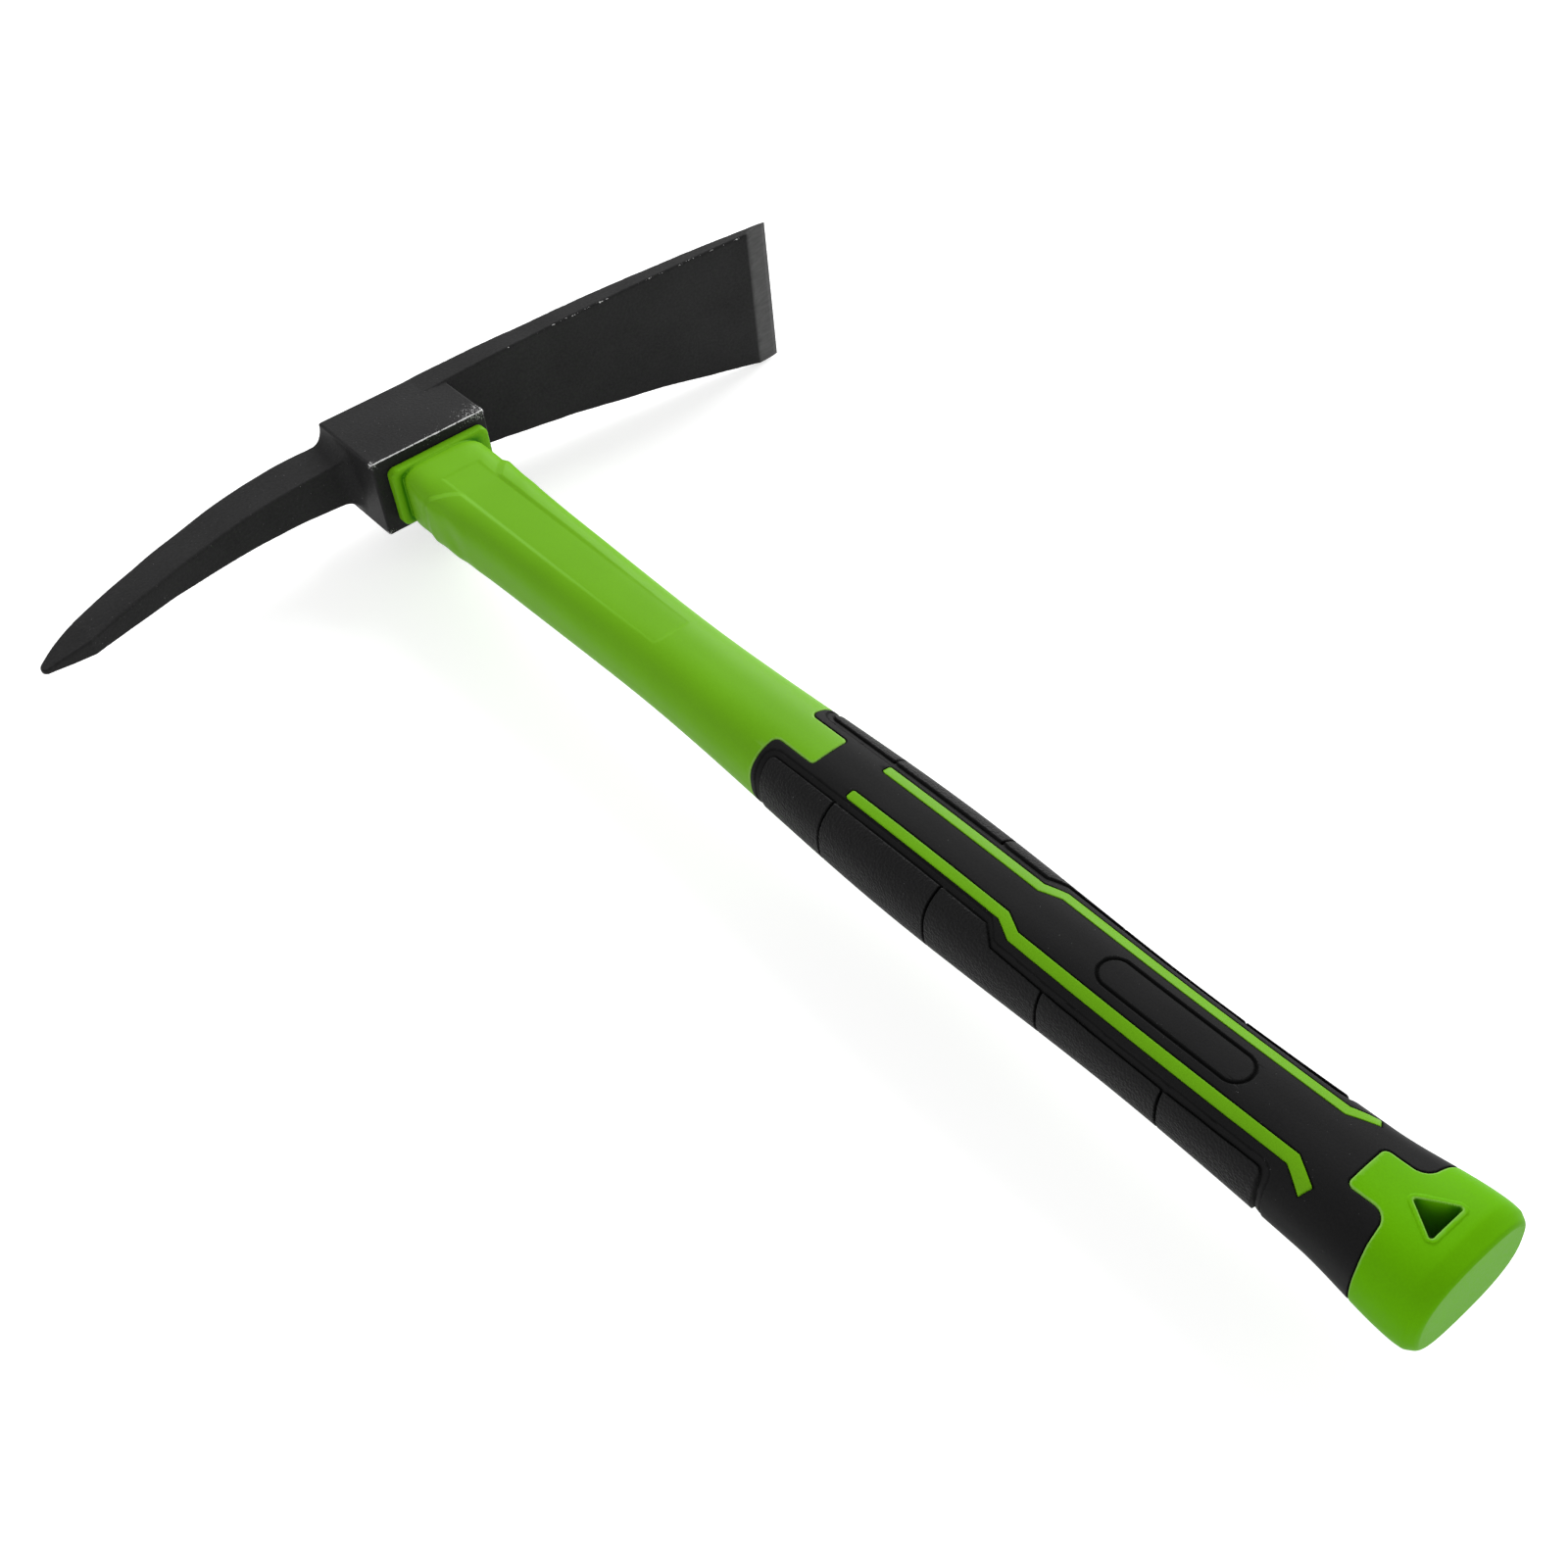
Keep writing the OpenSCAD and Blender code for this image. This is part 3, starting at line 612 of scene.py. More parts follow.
def handle_form(s, x):
    """Half width, half thickness and squareness of the handle at places along it."""
    at = HANDLE_FORM[:, 0] * s.handle_length
    slopes = np.diff(HANDLE_FORM[:, 1:], axis=0) / np.diff(at)[:, None]
    before, after = slopes[:-1], slopes[1:]
    both = before * after
    total = np.where(both > 0, before + after, 1)
    inner = np.where(both > 0, 2 * both / total, 0)
    tangents = np.concatenate([slopes[:1], inner, np.zeros((1, 3))])
    x = np.clip(x, at[0], at[-1])
    i = np.clip(np.searchsorted(at, x, side="right") - 1, 0, len(at) - 2)
    gap = at[i + 1] - at[i]
    u = (x - at[i]) / gap
    for column in range(3):
        a, b = HANDLE_FORM[i, column + 1], HANDLE_FORM[i + 1, column + 1]
        bend = tangents[i, column] * (1 - u) - tangents[i + 1, column] * u
        yield a + (b - a) * u * u * (3 - 2 * u) + gap * u * (1 - u) * bend


RIM_SOFTNESS = 0.02
OFF_AXIS = 1e-6


def skin(s, x, y, z, sunk=0):
    """Distance to the handle's outer skin, or to that skin sunk by a depth."""
    half_width, half_thick, squareness = handle_form(s, x)

    def rolled(reach):
        rim = (x - s.handle_length) / reach + 1
        return s.rim_depth * (rim + np.sqrt(rim * rim + RIM_SOFTNESS)) / 2

    w = half_width - sunk - rolled(s.side_rim_length)
    t = half_thick - sunk - rolled(s.rim_length)
    a, b = np.abs(y) / w + OFF_AXIS, np.abs(z) / t + OFF_AXIS
    total = a ** squareness + b ** squareness
    value = total ** (1 / squareness)
    scale = total ** (1 / squareness - 1)
    slope = np.hypot(
        scale * a ** (squareness - 1) / w, scale * b ** (squareness - 1) / t)
    return (value - 1) / slope


def corner_arc(centre, r, start, stop, count=7):
    """Points on an arc, with its angles in degrees."""
    angles = np.radians(np.linspace(start, stop, count))
    return [(centre[0] + r * np.cos(t), centre[1] + r * np.sin(t)) for t in angles]


SEAM_SWEEP = [(-0.35, 12.5), (-1.1, 16), (-1.2, 40)]
OUTLINE_REACH = 200


def tongue_outline(x, way, half, reach, tip_round, root_round):
    """Outline of all that lies on one side of a line across the handle, with a tongue beyond it."""
    tip = corner_arc((reach - tip_round, half - tip_round), tip_round, 0, 90)
    root = corner_arc((root_round, half + root_round), root_round, 270, 180)
    right = [(x + way * u, y) for u, y in tip + root + SEAM_SWEEP]
    wall, side = x - way * OUTLINE_REACH, SEAM_SWEEP[-1][1]
    return [(u, -y) for u, y in reversed(right)] + right + [(wall, side), (wall, -side)]


def jacket_end(s):
    """Outline of the jacket where it meets the grip."""
    return tongue_outline(
        s.grip_start, 1, s.tongue_half, s.tongue_length, tip_round=1.2, root_round=2)


def cap_front(s):
    """Outline of the end cap where it meets the grip."""
    return tongue_outline(
        s.cap_start, -1, s.cap_tongue_half, s.cap_tongue, tip_round=1.5, root_round=3.6)


# The raised sleeve's front and its wrinkles
SLEEVE_SWEEP = 1.1
SWEEP_RANGE = (6.4, 14.5)
FACE_STEP = 0.7
SIDE_STEP = 0.3
STEP_RANGE = (8, 14)
WRINKLE_START = (8, 14)
WRINKLE_END = (50, 30)
WRINKLE_SIDES = (5, 10)
WRINKLE_WAVE = 10
# The sunk panel's sloping walls and rounded edges
PANEL_SLOPE = 0.9
PANEL_SCALE = 1.35
PANEL_CORNER = 0.5
PANEL_EDGE = 0.6
# The collar, the slot behind it, and the neck that runs under the grip
COLLAR_CORE = 1
COLLAR_SWELL = 0.1
COLLAR_WAVE = 16
SWELL_REACH = (1.4, 0.2)
SLOT_SLOPE = 0.25
SLOT_CORNER = 1.8
SLOT_LAP = 0.3
SLOT_FRONT = 0.8
SLOT_EDGE = 1.2
COLLAR_FILLET = 0.3
NECK_FRONT = 0.1
INNER_RANGE = (150, 349.0)
INNER_ROUND = 0.4


def sleeve_drop(s, x, y, z):
    """How far the neck lies below the raised sleeve, with the wrinkles where the sleeve starts."""
    out = np.abs(y)
    front = s.sleeve_start - SLEEVE_SWEEP * (np.clip(out, *SWEEP_RANGE) - SWEEP_RANGE[0])
    step = s.sleeve_step * (FACE_STEP + SIDE_STEP * smooth(*STEP_RANGE, out))
    drop = step * (1 - np.clip((x - front) / s.sleeve_ramp, 0, 1))
    wrinkled = smooth(*WRINKLE_START, x) * smooth(*WRINKLE_END, x) * smooth(*WRINKLE_SIDES, out)
    return drop + s.wrinkle * wrinkled * ripple(x, y, z, WRINKLE_WAVE, SEED + 3)


def sunk_panel(s, x, y, z):
    """Distance to the hollow of the panel in each broad face of the neck."""
    floor = s.panel_floor + s.panel_rise * (x - s.panel_start) / (s.panel_end - s.panel_start)
    deep = floor - np.abs(z)
    ends = np.maximum(s.panel_start - x, x - s.panel_end)
    walls = np.maximum(ends, np.abs(y) - s.panel_half)
    return rounded_cut((walls + PANEL_SLOPE * deep) / PANEL_SCALE, deep, PANEL_CORNER)


def collar_bar(s, x, y, z):
    """Distance to the collar, a bar across the handle that is a little uneven beside the eye."""
    half, side, top = s.collar_length / 2, s.collar_width / 2, s.collar_thickness / 2
    # The box has no ends along the handle, so x is nought there
    bar = rounded_box(
        0 * x, y - s.collar_shift, z,
        (-COLLAR_CORE, -side, -top), (COLLAR_CORE, side, top), s.collar_corner)
    bar = rounded_cut(bar, np.abs(x - half) - half, s.collar_rim)
    uneven = COLLAR_SWELL * ripple(0 * x, y, z, COLLAR_WAVE, SEED + 2)
    return bar - uneven * smooth(*SWELL_REACH, x)


def collar_slot(s, x, y, z):
    """Distance to the pocket behind the collar on each narrow side, which runs out to the rear."""
    floor = s.slot_floor - np.abs(y) + SLOT_SLOPE * (x - s.collar_length)
    slot = rounded_cut(
        floor / np.hypot(1, SLOT_SLOPE), np.abs(z) - s.slot_height / 2, SLOT_CORNER)
    return rounded_cut(slot, s.collar_length - SLOT_LAP - x, SLOT_FRONT)


def jacket_field(s):
    """The moulded jacket: collar, neck with its sunk panel and raised sleeve, tongue and body."""
    outline = jacket_end(s)

    def field(x, y, z):
        valley = np.clip(1 - (x - s.collar_length) / s.valley_length, 0, 1)
        neck = skin(s, x, y, z, sleeve_drop(s, x, y, z) + s.valley_depth * valley ** 2)
        neck = rounded_cut(neck, s.collar_length / 2 - x + 0 * y, NECK_FRONT)
        neck = rounded_cut(neck, -sunk_panel(s, x, y, z), PANEL_EDGE)
        neck = rounded_cut(neck, outline_distance(x, y, outline), s.seam_round)
        inner = rounded_cut(skin(s, x, y, z, s.grip_depth), x - INNER_RANGE[1], INNER_ROUND)
        neck = np.minimum(neck, np.maximum(inner, INNER_RANGE[0] - x))
        neck = rounded_cut(neck, -collar_slot(s, x, y, z), SLOT_EDGE)
        return filleted_join(collar_bar(s, x, y, z), neck, COLLAR_FILLET)

    return field


# A stripe's middle line, as places along the handle and out from its middle
STRIPE_LINE = ((198.1, 5.8), (250.0, 5.8), (255.3, 8.2), (332.6, 8.2), (338.5, 11.5))


def stripe_sides(half):
    """A stripe's line, and the ways to its left side, mitred at the bends."""
    line = np.array(STRIPE_LINE)
    ways = unit(np.diff(line, axis=0))
    lefts = np.stack([-ways[:, 1], ways[:, 0]], axis=1)
    mitres = [lefts[0]]
    for before, after in zip(lefts, lefts[1:]):
        mitres.append((before + after) / (1 + before @ after))
    mitres.append(lefts[-1])
    return line, np.array(mitres) * half


def stripe_outline(s, half):
    """Closed outline of a stripe, with a rounded front end and a square rear end."""
    line, offsets = stripe_sides(half)
    left, right = line + offsets, line - offsets
    r = s.stripe_nose
    front, middle = line[0]
    nose = (
        corner_arc((front + r, middle - half + r), r, 270, 180)
        + corner_arc((front + r, middle + half - r), r, 180, 90))
    return nose + [tuple(p) for p in left[1:]] + [tuple(p) for p in right[:0:-1]]


# Places along the handle: the ends of the row of pads, the splits between them, the pads' inner
# edge with its way out from the middle, and the centres of the oval's two ends
PAD_ENDS = (173.4, 329.5)
PAD_SPLITS = (197.0, 233.8, 268.6, 303.0)
PAD_LINE = ((170.0, 9.3), (248.3, 9.3), (252.6, 12.4), (360.0, 12.4))
OVAL_CENTRES = (278.1, 310.9)
# The pads' edges, the ledge round them, and the gaps and beds in the grip
WIDEST_SHARE = 0.995
STEEPEST = 2.2
PAD_CORNER = 2.0
PAD_WALL = (0.1, 0.7)
PAD_FACE = (0.3, 0.9)
FRONT_LEAD = 9
SPLIT_GAP = (0.9, 2.0)
LEDGE_WALL = 0.4
LEDGE_FOOT = -0.2
LEDGE_SHARES = (0.6, 0.4)
STRIPE_GAP = 0.08
SEAM_GAP = 0.06
BED_DEPTH = 1.3
BED_EDGE = 0.25
BORE_EDGE = 0.2
CREASE_BAND = (0.4, 0.1)


def pad_place(s, x, y):
    """Distance into a side pad across the surface, below nought outside the pads."""
    line_x, line_y = zip(*PAD_LINE)
    half_width, half_thick, squareness = handle_form(s, x)
    edge = np.interp(x, line_x, line_y)
    a = np.clip(edge / half_width, 0, WIDEST_SHARE)
    b = (1 - a ** squareness) ** (1 / squareness)
    steep = half_thick / half_width * (a / b) ** (squareness - 1)
    across = (np.abs(y) - edge) * np.sqrt(1 + np.minimum(steep, STEEPEST) ** 2)
    ends = np.minimum(x - PAD_ENDS[0], PAD_ENDS[1] - x)
    return -rounded_cut(-across, -ends, PAD_CORNER)


def groove(distance, half, depth):
    """Depth of a round-bottomed groove at a distance from its line."""
    return depth * np.clip(1 - (distance / half) ** 2, 0, 1)


def behind_split(x):
    """How far a place is behind the last split between two pads."""
    starts = np.array((PAD_ENDS[0] - FRONT_LEAD,) + PAD_SPLITS)
    return x - starts[np.clip(np.searchsorted(starts, x, side="right") - 1, 0, len(starts) - 1)]


def grip_lines(s, x, y, z):
    """Depth of the grip's lines: round the pads, between them, and the oval."""
    inside = pad_place(s, x, y)
    lines = groove(inside + s.ledge_width, s.line_half, s.line_depth)
    along = groove(inside, s.groove_half, s.groove_depth)
    lines = lines + along * smooth(*SPLIT_GAP, behind_split(x))
    for split in PAD_SPLITS:
        cut = groove(x - split, s.split_half, s.split_depth)
        lines = lines + cut * smooth(-s.groove_half, 0, inside)
    beyond = np.maximum(np.maximum(OVAL_CENTRES[0] - x, x - OVAL_CENTRES[1]), 0)
    ring = np.abs(np.hypot(beyond, y) - s.oval_half_width)
    return lines + np.where(z > 0, groove(ring, s.oval_groove, s.oval_depth), 0)


def grip_relief(s, x, y, z):
    """How far the grip's face is sunk: its lines, the ledge round the pads, and the pads' rise."""
    inside = pad_place(s, x, y)
    foot = LEDGE_WALL - s.ledge_width
    step = LEDGE_SHARES[0] * smooth(-s.ledge_width, foot, inside)
    slope = LEDGE_SHARES[1] * smooth(foot, LEDGE_FOOT, inside)
    ledge = s.ledge_depth * (step + slope)
    return ledge - s.pad_rise * smooth(*PAD_WALL, inside) + grip_lines(s, x, y, z)


def grip_field(s):
    """The rubber grip: pads, grooves, beds for the stripes, and the bore that the jacket fills."""
    front, rear = jacket_end(s), cap_front(s)
    stripe = stripe_outline(s, s.stripe_half + STRIPE_GAP)

    def field(x, y, z):
        outer = skin(s, x, y, z, grip_relief(s, x, y, z))
        ends = np.maximum(-outline_distance(x, y, front), -outline_distance(x, y, rear))
        grip = rounded_cut(outer, ends + SEAM_GAP, s.seam_round)
        bed = outline_distance(x, np.abs(y), stripe)
        grip = rounded_cut(grip, -np.maximum(bed, -outer - BED_DEPTH), BED_EDGE)
        return rounded_cut(grip, -skin(s, x, y, z, s.grip_depth), BORE_EDGE)

    return field


def pad_mark(s):
    """One on the side pads and nought on the smooth rubber round them."""
    def mark(field, points):
        return smooth(*PAD_FACE, pad_place(s, points[:, 0], points[:, 1]))

    return mark


def crease_shade_mark(s):
    """How deep a place lies in the grip's lines and seams, from nought to one. The rubber is
    darkened by it as painted shade.
    """
    stripe = stripe_outline(s, s.stripe_half)

    def mark(field, points):
        x, y, z = points.T
        lines = grip_lines(s, x, y, z) / s.oval_depth
        beds = np.abs(outline_distance(x, np.abs(y), stripe))
        seams = smooth(*CREASE_BAND, np.minimum(seam_distance(s, x, y), beds))
        return np.clip(np.maximum(lines, seams), 0, 1)

    return mark


def hole_distance(s, x, y):
    """Distance to the hang hole's outline, a triangle with rounded corners."""
    base, half = s.handle_length - s.hole_base, s.hole_width / 2
    side = np.hypot(s.hole_height, half)
    inradius = s.hole_height * s.hole_width / (s.hole_width + 2 * side)
    pull = 1 - s.hole_round / inradius
    middle = base - inradius
    corners = [(base, -half), (base, half), (base - s.hole_height, 0)]
    inset = [(middle + (u - middle) * pull, v * pull) for u, v in corners]
    return outline_distance(x, y, inset) - s.hole_round


# The lip's wall, the plug under the grip, and the cap's edges
LIP_WALL = (0.25, -0.1)
PLUG_RANGE = (349.4, 360)
PLUG_ROUND = 0.3
BUTT_EDGE = 0.8
HOLE_EDGE = 0.3


def cap_field(s):
    """The end cap: tongue, rounded butt, and the hang hole with its raised lip."""
    outline = cap_front(s)

    def field(x, y, z):
        hole = hole_distance(s, x, y)
        lip = smooth(s.lip_width + LIP_WALL[0], s.lip_width + LIP_WALL[1], hole)
        cap = skin(s, x, y, z, -(s.lip_height * lip))
        cap = rounded_cut(cap, outline_distance(x, y, outline), s.seam_round)
        plug = rounded_cut(skin(s, x, y, z, s.grip_depth), PLUG_RANGE[0] - x, PLUG_ROUND)
        cap = np.minimum(cap, np.maximum(plug, x - PLUG_RANGE[1]))
        cap = rounded_cut(cap, x - s.handle_length + 0 * y, BUTT_EDGE)
        return rounded_cut(cap, -hole + 0 * z, HOLE_EDGE)

    return field


# Steps along a stripe, and the roll of its ends
STATION_STEP = 0.8
END_STATIONS = np.array([0.05, 0.12, 0.25, 0.45, 0.7, 1.0])
END_ROLL = 0.3
LEAST_RISE = 1e-4
# A stripe across: the share of its half width, and the depth below the skin
EDGE_PROFILE = [(1.0, 1.1), (1.0, 0.5), (0.99, 0.24), (0.965, 0.1), (0.92, 0.02), (0.87, 0.0)]
FLAT_PROFILE = [(u, 0.0) for u in (0.6, 0.3, 0.0, -0.3, -0.6)]


def stripe_stations():
    """Places along a stripe's line, closer at its ends, and the way to its left side at each."""
    line, offsets = stripe_sides(1.0)
    places, lefts = [], []
    for i, (start, stop) in enumerate(zip(line, line[1:])):
        span = np.linalg.norm(stop - start)
        shares = np.linspace(0, 1, max(2, int(span / STATION_STEP)), endpoint=False)
        if i == 0:
            shares = np.union1d(shares, END_STATIONS / span)
        elif i == len(line) - 2:
            shares = np.union1d(shares, 1 - END_STATIONS / span)
        for u in shares:
            places.append(start * (1 - u) + stop * u)
            lefts.append(offsets[i] * (1 - u) + offsets[i + 1] * u)
    return places + [line[-1]], lefts + [offsets[-1]]


def stripe_mesh(s, name, side, face):
    """A green stripe laid in the grip: a flat strip with rounded edges that follows the skin."""
    profile = EDGE_PROFILE + FLAT_PROFILE + [(-u, d) for u, d in reversed(EDGE_PROFILE)]
    places, lefts = stripe_stations()
    r = s.stripe_nose
    points = []
    for place, left in zip(places, lefts):
        from_front = place[0] - places[0][0]
        from_rear = np.linalg.norm(places[-1] - place)
        half = s.stripe_half
        if from_front < r:
            half = half - r + np.sqrt(max(r * r - (r - from_front) ** 2, 0))
        drop = END_ROLL * smooth(END_ROLL, 0, min(from_front, from_rear))
        for u, depth in profile:
            px, py = place + left * u * half
            w, t, n = (float(v) for v in handle_form(s, np.array(px)))
            depth = depth + drop
            b = max(1 - (abs(py) / (w - depth)) ** n, LEAST_RISE) ** (1 / n)
            points.append((px, py * side, (t - depth) * b * face))
    count = len(profile)
    quads = [
        (i * count + j, i * count + (j + 1) % count,
         (i + 1) * count + (j + 1) % count, (i + 1) * count + j)
        for i in range(len(places) - 1) for j in range(count)]
    quads.append(tuple(reversed(range(count))))
    quads.append(tuple(range(len(points) - count, len(points))))
    if side * face < 0:
        quads = [tuple(reversed(q)) for q in quads]
    mesh = bpy.data.meshes.new(name)
    mesh.from_pydata((np.array(points) + EYE_FACE) / MM, [], quads)
    mesh.polygons.foreach_set("use_smooth", np.ones(len(mesh.polygons), bool))
    mesh.update()
    return mesh


FLOAT = "NodeSocketFloat"
COLOR = "NodeSocketColor"
PLACE = ("Vector", "NodeSocketVector", (0, 0, 0))


def node_group(name, inputs, outputs):
    """A new shader node group with its sockets, what it is given and what it puts out."""
    group = bpy.data.node_groups.new(name, "ShaderNodeTree")
    for label, kind, default in inputs:
        socket = group.interface.new_socket(label, in_out="INPUT", socket_type=kind)
        socket.default_value = default
    for label, kind in outputs:
        group.interface.new_socket(label, in_out="OUTPUT", socket_type=kind)
    given = group.nodes.new("NodeGroupInput")
    return group, given.outputs, group.nodes.new("NodeGroupOutput").inputs


def feed(tree, socket, value):
    """Links an input socket to an output, or sets its value."""
    if isinstance(value, bpy.types.NodeSocket):
        tree.links.new(value, socket)
    else:
        socket.default_value = value


def add(tree, kind, values=(), **settings):
    """A node with settings, and with values or links on its inputs."""
    made = tree.nodes.new(kind)
    for key, value in settings.items():
        setattr(made, key, value)
    for key, value in dict(values).items():
        feed(tree, made.inputs[key], value)
    return made


def ramp(tree, value, low, high, to_low=0.0, to_high=1.0):
    """A value mapped smoothly from one range to another."""
    made = add(tree, "ShaderNodeMapRange", {
        "Value": value, "From Min": low, "From Max": high, "To Min": to_low, "To Max": to_high},
        interpolation_type="SMOOTHSTEP")
    return made.outputs["Result"]


def band(tree, value, reach, to_low=0.0, to_high=1.0):
    """A place mapped smoothly from a range in millimetres to another range."""
    return ramp(tree, value, reach[0] / MM, reach[1] / MM, to_low, to_high)


def mixed(tree, factor, a, b):
    """Two colours mixed by a factor."""
    return add(tree, "ShaderNodeMix", {0: factor, 6: a, 7: b}, data_type="RGBA").outputs[2]


def figure(tree, operation, a, b=0.0):
    """A sum on values or sockets."""
    return add(tree, "ShaderNodeMath", {0: a, 1: b}, operation=operation).outputs[0]


def product(tree, first, *others):
    """Values or sockets multiplied together."""
    for other in others:
        first = figure(tree, "MULTIPLY", first, other)
    return first


def vector(tree, operation, a, b):
    """A sum on two vectors, or on a vector and its scale."""
    second = "Scale" if operation == "SCALE" else 1
    return add(tree, "ShaderNodeVectorMath", {0: a, second: b}, operation=operation).outputs[0]


def noise(tree, place, scale, detail, roughness=0.5):
    """Soft random blots."""
    return add(tree, "ShaderNodeTexNoise", {
        "Vector": place, "Scale": scale, "Detail": detail, "Roughness": roughness}).outputs


def stretched(tree, place, scale):
    """Places scaled along each axis."""
    return add(tree, "ShaderNodeMapping", {"Vector": place, "Scale": scale}).outputs[0]


def attribute(tree, name):
    """A mark that the mesh carries."""
    return add(tree, "ShaderNodeAttribute", attribute_name=name).outputs["Fac"]


def mottle_group():
    """Broad patches and fine specks that vary a colour a little."""
    group, given, out = node_group(
        "Mottle",
        [PLACE, ("Color", COLOR, (1, 1, 1, 1)), ("Patch Scale", FLOAT, 60.0),
         ("Speck Scale", FLOAT, 900.0), ("Amount", FLOAT, 0.1)],
        [("Color", COLOR), ("Height", FLOAT)])
    patches = noise(group, given["Vector"], given["Patch Scale"], detail=4.0)["Fac"]
    specks = noise(group, given["Vector"], given["Speck Scale"], detail=2.0)["Fac"]
    level = figure(group, "SUBTRACT", figure(group, "ADD", patches, specks), 1.0)
    gain = figure(group, "ADD", product(group, level, given["Amount"]), 1.0)
    feed(group, out["Color"], vector(group, "SCALE", given["Color"], gain))
    feed(group, out["Height"], specks)
    return group


# Levels at which the noise shows as chips and flecks
WORN_LIFT = 0.6
FLECK_SCALE = 5.0
FLECK_SHARE = 0.5
CHIP_RANGE = (1.15, 1.27)
SCUFF_LIFT = 0.34
SCUFF_RANGE = (0.76, 0.88)
SCUFF_LEVEL = 0.42


def wear_group():
    """Broken chips along worn edges, and scattered flecks in scuffed patches."""
    group, given, out = node_group(
        "Edge Wear",
        [PLACE, ("Worn", FLOAT, 0.0), ("Scuffed", FLOAT, 0.0), ("Scale", FLOAT, 500.0)],
        [("Mask", FLOAT)])
    chips = noise(group, given["Vector"], given["Scale"], detail=4.0, roughness=0.7)["Fac"]
    fine = product(group, given["Scale"], FLECK_SCALE)
    flecks = noise(group, given["Vector"], fine, detail=2.0, roughness=0.6)["Fac"]
    along = figure(group, "ADD", product(group, given["Worn"], WORN_LIFT), chips)
    along = figure(group, "ADD", along, product(group, flecks, FLECK_SHARE))
    line = ramp(group, along, *CHIP_RANGE)
    patch = figure(group, "ADD", product(group, given["Scuffed"], SCUFF_LIFT), flecks)
    patch = ramp(group, patch, *SCUFF_RANGE, 0.0, SCUFF_LEVEL)
    feed(group, out["Mask"], figure(group, "MAXIMUM", line, patch))
    return group


PEBBLE_SHIFT = 0.5
PEBBLE_SOFTNESS = 0.6
PEBBLE_RANGE = (0.75, 0.1)


def pebble_group():
    """Small rounded pebbles, as on moulded leather grain."""
    group, given, out = node_group("Pebble", [PLACE, ("Scale", FLOAT, 900.0)], [("Height", FLOAT)])
    warp = noise(group, given["Vector"], given["Scale"], detail=1.0)["Color"]
    moved = vector(group, "ADD", given["Vector"], vector(group, "SCALE", warp, PEBBLE_SHIFT / MM))
    cells = add(group, "ShaderNodeTexVoronoi", {
        "Vector": moved, "Scale": given["Scale"], "Smoothness": PEBBLE_SOFTNESS},
        feature="SMOOTH_F1")
    feed(group, out["Height"], ramp(group, cells.outputs["Distance"], *PEBBLE_RANGE))
    return group


def group_node(tree, name, make, values):
    """What a shared group, which is built once, puts out in a material."""
    group = bpy.data.node_groups.get(name) or make()
    return add(tree, "ShaderNodeGroup", values, node_tree=group).outputs


def mottled(tree, place, rgb, patch, speck, amount):
    """A mottled colour and the height of its specks."""
    made = group_node(tree, "Mottle", mottle_group, {
        "Vector": place, "Color": opaque(rgb), "Patch Scale": patch, "Speck Scale": speck,
        "Amount": amount})
    return made["Color"], made["Height"]


def new_material(name, roughness, **fixed):
    """A material with its shader, its node tree and object coordinates."""
    made = bpy.data.materials.new(name)
    made.use_nodes = True
    tree = made.node_tree
    shader = tree.nodes["Principled BSDF"]
    shader.inputs["Roughness"].default_value = roughness
    for key, value in fixed.items():
        shader.inputs[key.replace("_", " ")].default_value = value
    place = tree.nodes.new("ShaderNodeTexCoord").outputs["Object"]
    return made, tree, shader, place


def dress(tree, shader, base, height, depth, strength):
    """A colour on a shader, and a bump whose depth is in millimetres."""
    feed(tree, shader.inputs["Base Color"], base)
    bump = add(tree, "ShaderNodeBump", {
        "Height": height, "Distance": depth / MM, "Strength": strength})
    feed(tree, shader.inputs["Normal"], bump.outputs["Normal"])


def opaque(rgb):
    """A colour with full alpha."""
    return (*rgb, 1.0)


# Worn and scuffed places on the head, in millimetres from the middle of the eye's near face. Each
# scuff has its middle, its stretch along each axis, its reach and its level
CHEEK_EDGE = (11.6, 12.3)
NEAR_EDGE = (-1.8, -0.9)
SIDE_FADE = (-15.0, -1.0)
SIDE_INNER = (18.4, 19.2)
SIDE_OUTER = (21.5, 20.4)
SIDE_LEVEL = 0.85
BLADE_RANGE = (20.0, 50.0)
BLADE_LEVELS = (0.15, 0.63)
BLADE_END = (134.0, 126.0)
BLOCK_SIDE = (24.0, 18.0)
BLOCK_LEVEL = 0.15
SCUFFS = (
    ((0, 19.8, 13), (1.6, 1, 3), 20, 0.85),
    ((0, -19.8, 12.9), (1, 1, 1), 4.5, 1.0),
    ((0, 0, 13), (1, 0.25, 1), 6, 0.45),
)


def head_place(tree, place):
    """Places on the head from the middle of the eye's near face, alike on both cheeks."""
    away = vector(tree, "SUBTRACT", place, EYE_FACE / MM)
    x, y, z = add(tree, "ShaderNodeSeparateXYZ", {0: away}).outputs
    cheek = figure(tree, "ABSOLUTE", z)
    return add(tree, "ShaderNodeCombineXYZ", {"X": x, "Y": y, "Z": cheek}).outputs[0]


